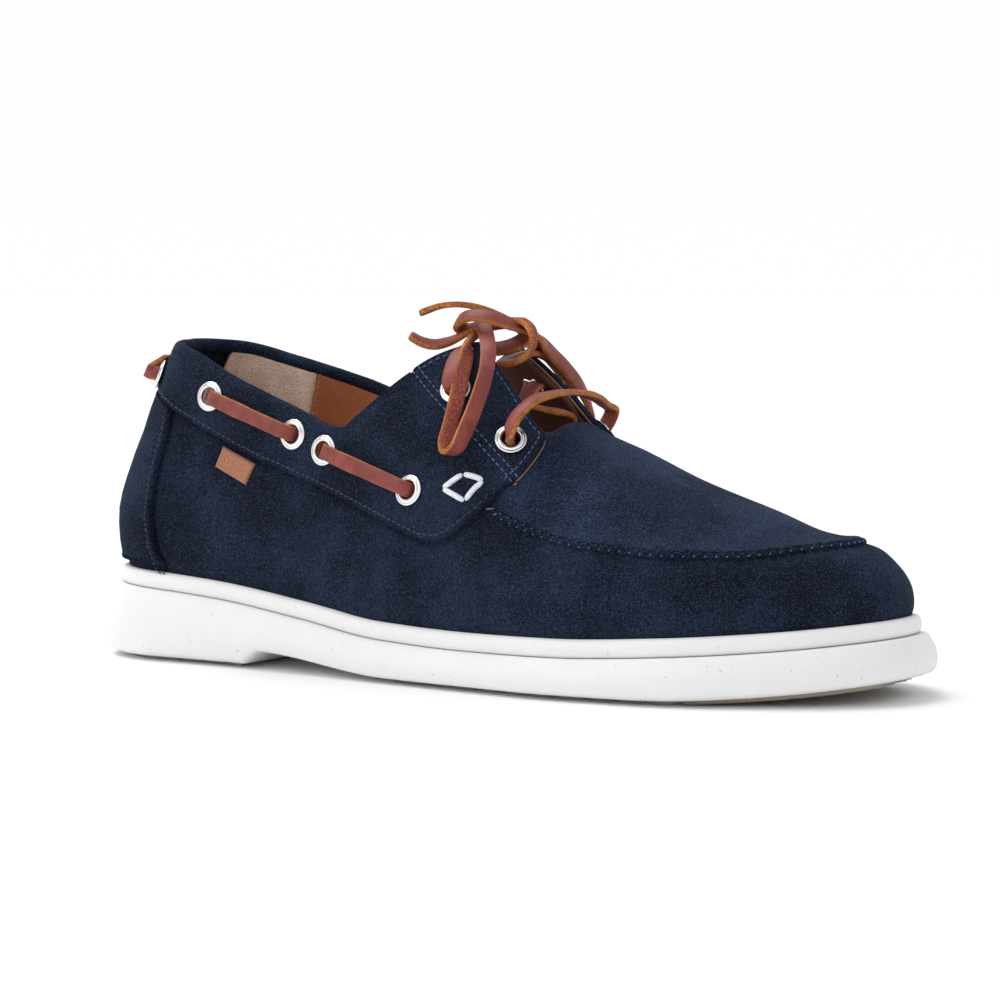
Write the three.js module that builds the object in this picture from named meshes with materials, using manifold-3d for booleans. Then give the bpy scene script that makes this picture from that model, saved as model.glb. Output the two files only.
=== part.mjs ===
// Right boat shoe, men's, as an assembly of separate pieces.
// Millimetres. +X points to the toe, +Y to the medial side, +Z up.
// The tables below are in last coordinates: x from the back of the outsole,
// y from the straight centre line, z from the underside of the white outsole.
import * as THREE from 'three';
import { mergeVertices } from 'three/addons/utils/BufferGeometryUtils.js';
import Module from 'manifold-3d';

const wasm = await Module();
wasm.setup();
const { Manifold, Mesh } = wasm;

// ---------------------------------------------------------------- sizes, mm
const LENGTH = 300;          // outsole, heel to toe
const TREAD = 1.6;           // tread pads below the white outsole, gap included
const GAP = 0.3;             // between neighbouring curved pieces
const MIDSOLE = 5.8;         // height of the band under the upper
const WALL = 2.0;            // upper, leather with its lining
const BAND = 1.6;            // collar overlay
const FLAP = 2.0;            // eyestay overlay
const COUNTER = 1.2;         // heel counter overlay
const TONGUE = 2.0;
const INSOLE = 3.0;
const RIM = 2.4;             // radius of the padded rim
const UPPER_INSET = 7.6;     // feather line, in from the outsole's widest line
const HEEL_ROUND = 36;       // length of the heel rounding
const TOE_ROUND = 78;        // length of the toe rounding
const HEEL_POWER = 2.1;
const TOE_POWER = 2.2;
const TOE_SHIFT = 5;         // the toe swings to the medial side
const BREAST = 74;           // front of the heel
const ARCH = 4.5;            // arch height under the outsole
const TOE_SPRING = 6.3;
const RIDGE_START = 70;      // ends of the line where the two sides meet
const RIDGE_END = 242;
const BULGE = 1.85;          // fullness of the sides just above the sole
const EYELET = { outer: 5.0, hole: 2.9, barrel: 3.4, cut: 3.7, lip: 1.1 };
const LACE = { radius: 1.7, sides: 8 };
const BAR_STEPS = 12;

// ---------------------------------------------------------------- tables, mm
// half widths of the outsole and height of its top edge
const SOLE = [
  { x: 0, lateral: 34.5, medial: 35.0, ledge: 23.7 },
  { x: 25, lateral: 34.5, medial: 35.5, ledge: 22.7 },
  { x: 60, lateral: 35.8, medial: 36.0, ledge: 20.3 },
  { x: 95, lateral: 39.3, medial: 35.5, ledge: 16.0 },
  { x: 130, lateral: 45.4, medial: 37.0, ledge: 11.6 },
  { x: 165, lateral: 50.9, medial: 42.5, ledge: 10.6 },
  { x: 200, lateral: 54.7, medial: 49.5, ledge: 11.0 },
  { x: 235, lateral: 53.8, medial: 52.5, ledge: 12.8 },
  { x: 265, lateral: 49.2, medial: 51.5, ledge: 14.9 },
  { x: 300, lateral: 45.5, medial: 49.5, ledge: 18.7 },
];
// outsole wall: part of its height, and how far in from its widest line
const OUTSOLE_WALL = [
  { up: 0, inset: 5.6 }, { up: 0.06, inset: 2.6 }, { up: 0.18, inset: 0.8 },
  { up: 0.46, inset: 0 }, { up: 0.68, inset: 0.9 }, { up: 0.93, inset: 2.6 },
  { up: 1, inset: 4.6 },
];
const MIDSOLE_WALL = [
  { up: 0, inset: 6.2 }, { up: 0.22, inset: 5.0 }, { up: 0.65, inset: 5.0 },
  { up: 1, inset: 6.9 },
];
// height of the centre line of the closed form, before the openings are cut
const RIDGE = [
  { x: 40, z: 140 }, { x: 70, z: 140 }, { x: 110, z: 128 }, { x: 135, z: 120 },
  { x: 150, z: 111 }, { x: 165, z: 98 }, { x: 181, z: 80.8 }, { x: 200, z: 72.4 },
  { x: 220, z: 63.2 }, { x: 240, z: 56.2 }, { x: 262, z: 49.8 }, { x: 292, z: 49.1 },
];
// forward lean of the heel with height over the feather line
const LEAN = [
  { height: 0, shift: 0 }, { height: 15, shift: 0 }, { height: 35, shift: 3.7 },
  { height: 66, shift: 8.5 }, { height: 110, shift: 11.5 },
];
// power of the cross section at the toe, the middle and the heel
const FULLNESS = { toe: 2.44, middle: 2.25, heel: 2.4 };

// top edge of the collar and of the flaps, seen from the side
const TOPLINE = {
  lateral: [
    { x: -20, z: 106.5 }, { x: 24, z: 106.2 }, { x: 33, z: 105.0 }, { x: 44, z: 102.6 },
    { x: 63.5, z: 93.9 }, { x: 90, z: 84.5 }, { x: 106, z: 79.2 }, { x: 111, z: 78.9 },
    { x: 116, z: 82.0 }, { x: 124, z: 88.2 }, { x: 134, z: 95.6 }, { x: 143, z: 101.6 },
    { x: 150, z: 104.4 }, { x: 160, z: 106.5 }, { x: 200, z: 112 },
  ],
  medial: [
    { x: -20, z: 106.5 }, { x: 24, z: 106.2 }, { x: 36, z: 105.1 }, { x: 51, z: 101.1 },
    { x: 71, z: 96.1 }, { x: 92, z: 90.0 }, { x: 106, z: 84.2 }, { x: 111, z: 83.4 },
    { x: 116, z: 85.2 }, { x: 124, z: 89.6 }, { x: 134, z: 96.0 }, { x: 143, z: 101.8 },
    { x: 150, z: 104.4 }, { x: 160, z: 106.5 }, { x: 200, z: 112 },
  ],
};
// lower edge and front corner of the collar overlay
const BAND_EDGE = [
  { x: -20, z: 89.5 }, { x: 24, z: 88.6 }, { x: 28, z: 87.3 }, { x: 38.6, z: 82.6 },
  { x: 55.5, z: 75.3 }, { x: 66, z: 71.1 }, { x: 76.7, z: 67 }, { x: 87.2, z: 64.0 },
  { x: 108.9, z: 57.3 }, { x: 131.3, z: 50.0 }, { x: 144, z: 45.9 }, { x: 149, z: 44.7 },
  { x: 153.8, z: 44.6 }, { x: 159, z: 46.2 }, { x: 165, z: 50.3 }, { x: 170, z: 54.4 },
  { x: 174, z: 58.6 }, { x: 176.6, z: 62.2 },
];
// seam between the collar overlay and the eyestay, from its foot to the top
const FLAP_SEAM = [
  { x: 176.6, z: 62.2 }, { x: 173.5, z: 65 }, { x: 162.4, z: 74.6 },
  { x: 150.4, z: 83.4 }, { x: 143.9, z: 88.4 }, { x: 135.3, z: 95.6 }, { x: 124, z: 105 },
];
// front of the eyestay, from its foot round to the throat
const FLAP_FRONT = [
  { x: 177.6, z: 62.4 }, { x: 179.7, z: 64.6 }, { x: 181.2, z: 67.6 },
  { x: 182.0, z: 71.0 }, { x: 182.0, z: 74.0 }, { x: 181.0, z: 76.8 },
  { x: 179.4, z: 78.6 }, { x: 176, z: 86 }, { x: 176, z: 115 }, { x: 124, z: 115 },
];
// throat opening, half width either side of the middle
const THROAT = [
  { x: 90, half: 15 }, { x: 152, half: 15.5 }, { x: 160, half: 16.6 },
  { x: 168, half: 18.2 }, { x: 173, half: 19.8 }, { x: 177, half: 20.4 },
  { x: 179.6, half: 19.0 }, { x: 180.6, half: 15.5 }, { x: 180.6, half: 0 },
];
// seam of the heel counter, from the feather line up to the collar overlay
const COUNTER_SEAM = [
  { x: 38.5, z: 20 }, { x: 36.5, z: 28 }, { x: 32.8, z: 37 }, { x: 31.4, z: 47.4 },
  { x: 32.8, z: 59.7 }, { x: 36.4, z: 74.6 }, { x: 37.6, z: 84 },
];
const TAB = [
  { x: 60.6, z: 72.7 }, { x: 74.4, z: 67.3 }, { x: 71.2, z: 59.8 }, { x: 57.9, z: 65.4 },
];
// raised seam round the plug: degrees round from the heel, part of the way up
const PLUG_SEAM = [
  { around: 100.2, up: 0.340 }, { around: 102.6, up: 0.345 }, { around: 106.7, up: 0.337 },
  { around: 111.0, up: 0.334 }, { around: 118.2, up: 0.362 }, { around: 125.8, up: 0.388 },
  { around: 135.6, up: 0.442 }, { around: 147, up: 0.530 }, { around: 158, up: 0.580 },
  { around: 169, up: 0.602 }, { around: 180, up: 0.608 },
];
const PLUG_RADIUS = 1.5;
// eyelets, lateral side as seen from the side; the medial side is the same
const EYELETS = [
  { name: 'heel', x: 28.4, z: 93.2, lift: 0.8 },
  { name: 'rear', x: 55.4, z: 87.2 },
  { name: 'rear_front', x: 91.5, z: 75.6 },
  { name: 'front_rear', x: 104.9, z: 70.8 },
  { name: 'front', x: 142.4, z: 59.2 },
  { name: 'throat_upper', x: 152.7, z: 90.7 },
  { name: 'throat_lower', x: 173.2, z: 74.8, lift: 1.2 },
];
// laces: their middle lines between the eyelets, last coordinates
const BOW = {
  knot: { x: 153.2, y: -3, z: 110.2, rx: 10, ry: 6.5, rz: 6.5 },
  strand_lateral: [
    { x: 152.2, y: -31.6, z: 96.0 }, { x: 150.2, y: -28.6, z: 101.6 },
    { x: 148.6, y: -22.4, z: 106.6 }, { x: 147.8, y: -16.0, z: 109.2 },
    { x: 147.6, y: -8.0, z: 110.0 },
  ],
  strand_medial: [
    { x: 156.6, y: 31.6, z: 96.4 }, { x: 158.0, y: 28.0, z: 102.0 },
    { x: 158.6, y: 20.0, z: 106.8 }, { x: 158.4, y: 12.0, z: 108.6 },
    { x: 156.6, y: 2.0, z: 109.0 },
  ],
  loop_lateral: [
    { x: 154.6, y: -6.0, z: 111.6 }, { x: 157.6, y: -13.5, z: 111.4 },
    { x: 160.6, y: -21.5, z: 106.0 }, { x: 162.8, y: -29.6, z: 97.6 },
    { x: 163.4, y: -35.6, z: 87.6 }, { x: 163.0, y: -39.6, z: 78.4 },
    { x: 160.4, y: -41.4, z: 72.2 }, { x: 156.8, y: -41.0, z: 71.6 },
    { x: 154.4, y: -39.4, z: 77.0 }, { x: 155.0, y: -37.6, z: 85.0 },
    { x: 156.2, y: -35.4, z: 93.0 }, { x: 156.4, y: -30.6, z: 100.4 },
    { x: 155.2, y: -23.2, z: 106.6 }, { x: 153.6, y: -15.5, z: 109.2 },
    { x: 152.6, y: -7.0, z: 109.6 },
  ],
  loop_medial: [
    { x: 160.4, y: 1.0, z: 112.4 }, { x: 162.8, y: 9.0, z: 112.6 },
    { x: 165.2, y: 18.5, z: 108.6 }, { x: 167.6, y: 28.5, z: 100.4 },
    { x: 169.2, y: 35.4, z: 90.6 }, { x: 169.0, y: 39.6, z: 81.4 },
    { x: 166.2, y: 42.0, z: 74.8 }, { x: 162.0, y: 42.0, z: 74.0 },
    { x: 160.2, y: 40.6, z: 80.6 }, { x: 161.6, y: 38.2, z: 89.4 },
    { x: 163.0, y: 34.0, z: 97.4 }, { x: 162.6, y: 26.0, z: 104.2 },
    { x: 162.4, y: 16.0, z: 107.6 }, { x: 161.6, y: 6.8, z: 108.4 },
    { x: 159.6, y: 0.5, z: 108.6 },
  ],
  end_upper: [
    { x: 151.4, y: -5.4, z: 115.0 }, { x: 146.0, y: -10.6, z: 119.0 },
    { x: 140.4, y: -15.6, z: 118.4 }, { x: 134.9, y: -20.0, z: 115.8 },
  ],
  end_lower: [
    { x: 147.4, y: -9.4, z: 113.4 }, { x: 143.6, y: -12.6, z: 111.6 },
    { x: 138.6, y: -18.8, z: 108.6 }, { x: 133.2, y: -25.0, z: 110.2 },
  ],
};
// throat lace: the outer bar between the lower eyelets and the inner crossing
const THROAT_LACE = {
  bar: [
    { x: 181.2, y: -33.6, z: 85.4 }, { x: 180.2, y: -26.0, z: 88.2 },
    { x: 178.8, y: -14.0, z: 89.0 }, { x: 179.0, y: 0, z: 89.2 },
    { x: 179.6, y: 14.0, z: 89.2 }, { x: 180.6, y: 26.0, z: 88.4 },
    { x: 181.2, y: 33.6, z: 85.4 },
  ],
  cross_upper: [
    { x: 168.8, y: -16.0, z: 81.0 }, { x: 163.4, y: -4.0, z: 88.6 },
    { x: 158.2, y: 8.0, z: 91.2 },
  ],
  cross_lower: [
    { x: 168.4, y: 14.0, z: 80.6 }, { x: 167.4, y: 2.0, z: 84.2 },
    { x: 160.6, y: -9.0, z: 88.2 },
  ],
};
// the tongue in plan, and the lowest line of its sides seen from the side
const TONGUE_PLAN = [
  { x: 146, half: 13 }, { x: 150, half: 15.5 }, { x: 165, half: 17 }, { x: 186, half: 20 },
  { x: 203, half: 18 }, { x: 208, half: 12 },
];
const TONGUE_SIDES = [{ x: 140, z: 84 }, { x: 165, z: 71 }, { x: 180, z: 61 }, { x: 210, z: 46 }];
const GRID = { around: 48, up: 8, below: 14 };

// ---------------------------------------------------------------- functions
const clamp = (v, a = 0, b = 1) => Math.min(b, Math.max(a, v));
const smooth = (v) => { const t = clamp(v); return t * t * (3 - 2 * t); };

/** Monotone cubic through a table's columns. */
function curve(rows, key, value) {
  const x = rows.map((r) => r[key]);
  const y = rows.map((r) => r[value]);
  const n = x.length;
  const step = (i) => (y[i + 1] - y[i]) / (x[i + 1] - x[i]);
  const slope = x.map((_, i) => {
    if (i === 0) return step(0);
    if (i === n - 1) return step(n - 2);
    const a = step(i - 1);
    const b = step(i);
    if (a * b <= 0) return 0;
    const h0 = x[i] - x[i - 1];
    const h1 = x[i + 1] - x[i];
    const w0 = 2 * h1 + h0;
    const w1 = h1 + 2 * h0;
    return (w0 + w1) / (w0 / a + w1 / b);
  });
  return (v) => {
    const c = clamp(v, x[0], x[n - 1]);
    let k = 0;
    while (k < n - 2 && c >= x[k + 1]) k += 1;
    const h = x[k + 1] - x[k];
    const t = (c - x[k]) / h;
    const s = 1 - t;
    return y[k] * (1 + 2 * t) * s * s + slope[k] * h * t * s * s
      + y[k + 1] * t * t * (3 - 2 * t) - slope[k + 1] * h * t * t * s;
  };
}

const lateral = curve(SOLE, 'x', 'lateral');
const medial = curve(SOLE, 'x', 'medial');
const ledge = curve(SOLE, 'x', 'ledge');
const ridge = curve(RIDGE, 'x', 'z');
const lean = curve(LEAN, 'height', 'shift');
const topline = {
  lateral: curve(TOPLINE.lateral, 'x', 'z'),
  medial: curve(TOPLINE.medial, 'x', 'z'),
};
const centre = (x) => TOE_SHIFT * smooth((x - 190) / 110);

/** Underside of the white outsole: flat heel, arch, flat forefoot, toe spring. */
function underside(x) {
  const spring = TOE_SPRING * clamp((x - 225) / 75) ** 2;
  return spring + clamp((x - BREAST) / 6) * ARCH * (1 - smooth((x - BREAST - 4) / 58));
}

/** Point of the outsole's widest line, moved in by inset. */
function outline(phi, inset = 0) {
  const raw = (f) => {
    const x = LENGTH / 2 * (1 - Math.cos(f));
    const turn = ((f % (2 * Math.PI)) + 2 * Math.PI) % (2 * Math.PI);
    const side = turn <= Math.PI ? -1 : 1;
    const a = clamp(1 - x / HEEL_ROUND);
    const b = clamp(1 - (LENGTH - x) / TOE_ROUND);
    const cap = (1 - a ** HEEL_POWER) ** (1 / HEEL_POWER)
      * (1 - b ** TOE_POWER) ** (1 / TOE_POWER);
    return [x, centre(x) + side * (side < 0 ? lateral(x) : medial(x)) * cap];
  };
  const e = 1e-3;
  const p = raw(phi);
  const a = raw(phi - e);
  const b = raw(phi + e);
  const t = [b[0] - a[0], b[1] - a[1]];
  const l = Math.hypot(t[0], t[1]);
  return [p[0] - t[1] / l * inset, p[1] + t[0] / l * inset];
}

/** Point of the upper's outer face: phi round the shoe, t up from the feather line. */
function skin(phi, t) {
  const foot = outline(phi, UPPER_INSET);
  const base = ledge(foot[0]) + MIDSOLE;
  const k = (1 - Math.cos(phi)) / 2;
  const xr = RIDGE_START + (RIDGE_END - RIDGE_START) * k;
  const top = [xr, 0.8 * centre(xr)];
  const c = Math.cos(phi);
  const power = FULLNESS.middle + (FULLNESS.toe - FULLNESS.middle) * clamp(-c) ** 2
    + (FULLNESS.heel - FULLNESS.middle) * clamp(c) ** 2;
  const angle = t * Math.PI / 2;
  const across = 1 - Math.max(Math.cos(angle), 0) ** (2 / power);
  const high = Math.max(Math.sin(angle), 0) ** (2 / power);
  const along = foot[0] + (top[0] - foot[0]) * across;
  const z = base + (ridge(along) - base) * high;
  const d = [foot[0] - top[0], foot[1] - top[1]];
  const l = Math.hypot(d[0], d[1]);
  const out = BULGE * Math.sin(Math.PI * clamp((z - base) / 45));
  return new THREE.Vector3(
    along + d[0] / l * out
      + lean(z - base) * smooth((c + 0.25) / 1.25),
    foot[1] + (top[1] - foot[1]) * across + d[1] / l * out,
    z,
  );
}

/** Outward normal of the upper's outer face. */
function skinNormal(phi, t) {
  const at = (f, u) => {
    const e = 2e-3;
    const a = skin(f + e, u).sub(skin(f - e, u));
    const b = skin(f, u + e).sub(skin(f, Math.max(u - e, 0)));
    return a.cross(b).normalize();
  };
  const u = clamp(t, 0.004, 0.985);
  if (t < 0.985) return at(phi, u);
  return at(phi, u).add(at(2 * Math.PI - phi, u)).normalize();
}

/** The skin moved out by offset; the foot of the form moves level. */
function skinAt(phi, t, offset) {
  const p = skin(phi, t);
  const n = skinNormal(phi, t);
  const level = new THREE.Vector3(n.x, n.y, 0).normalize();
  n.lerpVectors(level, n, smooth(t / 0.08)).normalize();
  return p.addScaledVector(n, offset);
}

// ------------------------------------------------------------ solid builders
function geometryOf(points, triangles) {
  const g = new THREE.BufferGeometry();
  g.setAttribute('position', new THREE.Float32BufferAttribute(points.flatMap((p) => [p.x, p.y, p.z]), 3));
  g.setIndex(triangles.flat());
  return g;
}

/** A closed solid from a geometry, turned right side out. */
function solid(geometry) {
  let g = geometry.clone();
  for (const name of Object.keys(g.attributes)) if (name !== 'position') g.deleteAttribute(name);
  g = mergeVertices(g, 1e-4);
  const position = g.getAttribute('position');
  const index = Array.from(g.getIndex().array);
  const v = (i) => new THREE.Vector3().fromBufferAttribute(position, i);
  const kept = [];
  let volume = 0;
  for (let i = 0; i < index.length; i += 3) {
    const [a, b, c] = [index[i], index[i + 1], index[i + 2]];
    if (a === b || b === c || a === c) continue;
    kept.push(a, b, c);
    volume += v(a).dot(v(b).cross(v(c)));
  }
  if (volume < 0) for (let i = 0; i < kept.length; i += 3) [kept[i], kept[i + 1]] = [kept[i + 1], kept[i]];
  const mesh = new Mesh({
    numProp: 3,
    vertProperties: new Float32Array(position.array),
    triVerts: new Uint32Array(kept),
  });
  return new Manifold(mesh);
}

const cut = (a, ...tools) => tools.reduce((s, t) => s.subtract(t), a);
const join = (a, ...more) => more.reduce((s, t) => s.add(t), a);

/** Triangles between the two sides of a ring whose points mirror each other. */
function ladder(start, count, flip) {
  const out = [];
  const half = count / 2;
  for (let i = 0; i < half; i += 1) {
    const a = start + i;
    const b = start + i + 1;
    const c = start + ((count - i - 1) % count);
    const d = start + ((count - i) % count);
    if (i > 0) out.push([a, c, d]);
    if (i < half - 1) out.push([a, b, c]);
  }
  return flip ? out.map(([a, b, c]) => [a, c, b]) : out;
}

/** Angles round the shoe, with extra ones at the heel breast when asked. */
function angles(extra = []) {
  const half = [];
  for (let i = 0; i <= GRID.around / 2; i += 1) half.push(2 * Math.PI * i / GRID.around);
  for (const x of extra) half.push(Math.acos(1 - 2 * x / LENGTH));
  half.sort((a, b) => a - b);
  return [...half, ...half.slice(1, -1).reverse().map((f) => 2 * Math.PI - f)];
}

/** Closed stack of rings; each row gives an inset and a height function. */
function stack(rows, extra = []) {
  const phis = angles(extra);
  const n = phis.length;
  const points = [];
  for (const row of rows) {
    for (const phi of phis) {
      const [x, y] = outline(phi, row.inset);
      points.push(new THREE.Vector3(x, y, row.z(x)));
    }
  }
  const tris = [...ladder(0, n, false), ...ladder((rows.length - 1) * n, n, true)];
  for (let j = 0; j < rows.length - 1; j += 1) {
    for (let i = 0; i < n; i += 1) {
      const a = j * n + i;
      const b = j * n + (i + 1) % n;
      tris.push([a, a + n, b], [b, a + n, b + n]);
    }
  }
  return solid(geometryOf(points, tris));
}

/** The whole last form, its skin moved out by offset(x), closed underneath. */
function form(offset) {
  const move = typeof offset === 'function' ? offset : () => offset;
  const n = GRID.around;
  const points = [];
  for (let j = -1; j <= GRID.up; j += 1) {
    const t = Math.max(j, 0) / GRID.up;
    for (let i = 0; i < n; i += 1) {
      const phi = 2 * Math.PI * i / n;
      const p = skinAt(phi, t, move(skin(phi, t).x));
      if (j < 0) p.z -= GRID.below;
      if (j === GRID.up && i > n / 2) points.push(points[points.length + n - 2 * i].clone());
      else points.push(p);
    }
  }
  const tris = ladder(0, n, false);
  for (let j = 0; j <= GRID.up; j += 1) {
    for (let i = 0; i < n; i += 1) {
      const a = j * n + i;
      const b = j * n + (i + 1) % n;
      tris.push([a, a + n, b], [b, a + n, b + n]);
    }
  }
  return solid(geometryOf(points, tris));
}

/** Prism of a side view outline (x, z), from y0 to y1. */
function sidePrism(rows, y0, y1) {
  const shape = new THREE.Shape(rows.map((r) => new THREE.Vector2(r.x, r.z)));
  const g = new THREE.ExtrudeGeometry(shape, { depth: y1 - y0, bevelEnabled: false });
  g.rotateX(Math.PI / 2);
  g.translate(0, y1, 0);
  return solid(g);
}

/** Prism of a plan outline (x, y), from z0 to z1. */
function planPrism(rows, z0, z1) {
  const shape = new THREE.Shape(rows.map((r) => new THREE.Vector2(r.x, r.y)));
  const g = new THREE.ExtrudeGeometry(shape, { depth: z1 - z0, bevelEnabled: false });
  g.translate(0, 0, z0);
  return solid(g);
}

const block = (x0, x1, y0, y1, z0, z1) => {
  const g = new THREE.BoxGeometry(x1 - x0, y1 - y0, z1 - z0);
  g.translate((x0 + x1) / 2, (y0 + y1) / 2, (z0 + z1) / 2);
  return solid(g);
};

/** Round tube along rows of points. */
function tube(rows, radius, sides, steps) {
  const path = new THREE.CatmullRomCurve3(rows.map((r) => new THREE.Vector3(r.x, r.y, r.z)), false, 'centripetal');
  const shape = new THREE.Shape();
  for (let i = 0; i < sides; i += 1) {
    const a = 2 * Math.PI * i / sides;
    if (i === 0) shape.moveTo(radius, 0);
    else shape.lineTo(radius * Math.cos(a), radius * Math.sin(a));
  }
  return solid(new THREE.ExtrudeGeometry(shape, { steps, bevelEnabled: false, extrudePath: path }));
}

/** Turned solid about the normal n through p; the profile is (radius, along n). */
function turned(profile, p, n, segments) {
  const g = new THREE.LatheGeometry(profile.map(([r, h]) => new THREE.Vector2(r, h)), segments);
  g.applyQuaternion(new THREE.Quaternion().setFromUnitVectors(new THREE.Vector3(0, 1, 0), n));
  g.translate(p.x, p.y, p.z);
  return solid(g);
}

/** The angles (phi, t) at which the skin is seen at x, z from one side. */
function seenAt(x, z, side) {
  let phi = Math.acos(clamp(1 - 2 * x / LENGTH, -1, 1));
  let t = 0.3;
  for (let i = 0; i < 40; i += 1) {
    const e = 1e-4;
    const p = skin(phi, t);
    const a = skin(phi + e, t).sub(p).divideScalar(e);
    const b = skin(phi, t + e).sub(p).divideScalar(e);
    const det = a.x * b.z - a.z * b.x;
    const dx = x - p.x;
    const dz = z - p.z;
    phi += clamp((dx * b.z - dz * b.x) / det, -0.2, 0.2);
    t = clamp(t + clamp((a.x * dz - a.z * dx) / det, -0.1, 0.1), 0.001, 0.98);
  }
  return [side < 0 ? phi : 2 * Math.PI - phi, t];
}

/** The skin's t at one phi where its height meets the height function. */
function heightAt(phi, height) {
  let lo = 0.02;
  let hi = 0.9;
  for (let i = 0; i < 40; i += 1) {
    const mid = (lo + hi) / 2;
    const p = skin(phi, mid);
    if (p.z < height(p.x)) lo = mid; else hi = mid;
  }
  return lo;
}

// ---------------------------------------------------------------- the pieces
const group = new THREE.Group();
group.name = 'boat_shoe_right';

const widest = { min: 0, max: 0 };
for (let i = 0; i < 720; i += 1) {
  const [, y] = outline(2 * Math.PI * i / 720);
  widest.min = Math.min(widest.min, y);
  widest.max = Math.max(widest.max, y);
}
const ORIGIN = new THREE.Vector3(LENGTH / 2, (widest.min + widest.max) / 2, -TREAD);

const FINISH = {
  suede: { color: 0x272e3f, roughness: 0.95, metalness: 0 },
  rubber: { color: 0xf1efee, roughness: 0.55, metalness: 0 },
  tread: { color: 0xd9c3b4, roughness: 0.7, metalness: 0 },
  lining: { color: 0xa97b62, roughness: 0.85, metalness: 0 },
  lace: { color: 0x8c4a3a, roughness: 0.5, metalness: 0 },
  metal: { color: 0xc9c9c8, roughness: 0.22, metalness: 1 },
  tab: { color: 0xa6713f, roughness: 0.85, metalness: 0 },
};

/** Adds one named closed mesh with its own material. */
function add(name, finish, shape) {
  const mesh = shape.getMesh();
  const g = new THREE.BufferGeometry();
  const p = new Float32Array(mesh.numVert * 3);
  for (let i = 0; i < mesh.numVert; i += 1) {
    p[3 * i] = mesh.vertProperties[i * mesh.numProp] - ORIGIN.x;
    p[3 * i + 1] = mesh.vertProperties[i * mesh.numProp + 1] - ORIGIN.y;
    p[3 * i + 2] = mesh.vertProperties[i * mesh.numProp + 2] - ORIGIN.z;
  }
  g.setAttribute('position', new THREE.BufferAttribute(p, 3));
  g.setIndex(new THREE.BufferAttribute(new Uint32Array(mesh.triVerts), 1));
  g.computeVertexNormals();
  const material = new THREE.MeshStandardMaterial(FINISH[finish]);
  material.name = finish;
  const m = new THREE.Mesh(g, material);
  m.name = name;
  group.add(m);
}

// sole
const BREAST_STATIONS = [70, 74, 77, 80, 84, 130, 136];
const soleTop = (x) => ledge(x);
const outsole = stack(OUTSOLE_WALL.map((r) => ({
  inset: r.inset,
  z: (x) => underside(x) + (soleTop(x) - underside(x)) * r.up,
})), BREAST_STATIONS);
const midsole = stack(MIDSOLE_WALL.map((r) => ({
  inset: r.inset,
  z: (x) => ledge(x) + GAP + (MIDSOLE - GAP) * r.up,
})));
const padForm = stack([
  { inset: 7.6, z: (x) => underside(x) - TREAD },
  { inset: 6.6, z: (x) => underside(x) - TREAD + 0.5 },
  { inset: 6.6, z: (x) => underside(x) - GAP },
], BREAST_STATIONS);
/** Notches along both edges of a tread pad. */
function notches(x0, x1, pitch) {
  const tools = [];
  for (let x = x0; x <= x1; x += pitch) {
    const lo = centre(x) - lateral(x) + 6;
    const hi = centre(x) + medial(x) - 6;
    tools.push(block(x - 1, x + 1, lo - 6, lo + 6, -TREAD - 1, TOE_SPRING + 3));
    tools.push(block(x - 1, x + 1, hi - 6, hi + 6, -TREAD - 1, TOE_SPRING + 3));
  }
  return tools;
}
const heelPad = cut(padForm.intersect(block(-5, 69, -70, 70, -5, 20)), ...notches(42, 62, 10));
const frontPad = cut(padForm.intersect(block(137, 290, -70, 70, -5, 20)), ...notches(150, 240, 10));

// upper and what is cut from the same forms
const soleBlock = (lift) => stack([
  { inset: -8, z: () => -10 },
  { inset: -8, z: (x) => ledge(x) + MIDSOLE + lift },
]);
const above = (rows, lift) => [
  ...rows.map((r) => ({ x: r.x, z: r.z + lift })), { x: 200, z: 170 }, { x: -20, z: 170 },
];
const openTop = [
  sidePrism(above(TOPLINE.lateral, 0), -90, 0.01),
  sidePrism(above(TOPLINE.medial, 0), 0, 90),
];
const bothSides = (rows) => [
  ...rows.map((r) => ({ x: r.x, y: r.half })),
  ...rows.filter((r) => r.half > 0).reverse().map((r) => ({ x: r.x, y: -r.half })),
];
const slot = planPrism(bothSides(THROAT), 60, 170);
const rimPath = (() => {
  const rows = [];
  const drop = RIM - 0.2;
  const ends = [[108, -1], [110, 1]].map(([x, side]) => seenAt(x, topline[side < 0 ? 'lateral' : 'medial'](x) - drop, side)[0]);
  const n = 44;
  for (let i = 0; i <= n; i += 1) {
    const phi = ends[0] + (ends[1] - 2 * Math.PI - ends[0]) * i / n;
    const line = phi > 0 ? topline.lateral : topline.medial;
    const t = heightAt(phi, (x) => line(x) - drop);
    rows.push(skinAt(phi, t, -0.2));
  }
  return rows;
})();
const rim = tube(rimPath, RIM, 8, 26);
const rimRoom = tube(rimPath, RIM + GAP, 8, 26);

const eyelets = [];
for (const row of EYELETS) {
  for (const side of [-1, 1]) {
    const [phi, t] = seenAt(row.x, row.z, side);
    const flap = row.name.startsWith('throat');
    const n = skinNormal(phi, t);
    const face = GAP + (flap ? FLAP : BAND);
    const p = skinAt(phi, t, face);
    const flat = row.lift ?? 0.55;
    eyelets.push({
      name: `eyelet_${side < 0 ? 'lateral' : 'medial'}_${row.name}`,
      hole: turned([[0, -face - WALL - 2], [EYELET.cut, -face - WALL - 2], [EYELET.cut, 3], [0, 3]], p, n, 10),
      ring: turned([
        [EYELET.hole, -face - WALL - 0.4], [EYELET.barrel, -face - WALL - 0.4], [EYELET.barrel, flat],
        [EYELET.outer, flat], [EYELET.outer - 0.7, flat + EYELET.lip],
        [EYELET.hole, flat + 0.4], [EYELET.hole, -face - WALL - 0.4],
      ], p, n, 10),
      p, n,
    });
  }
}
const holes = eyelets.map((e) => e.hole);

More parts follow.
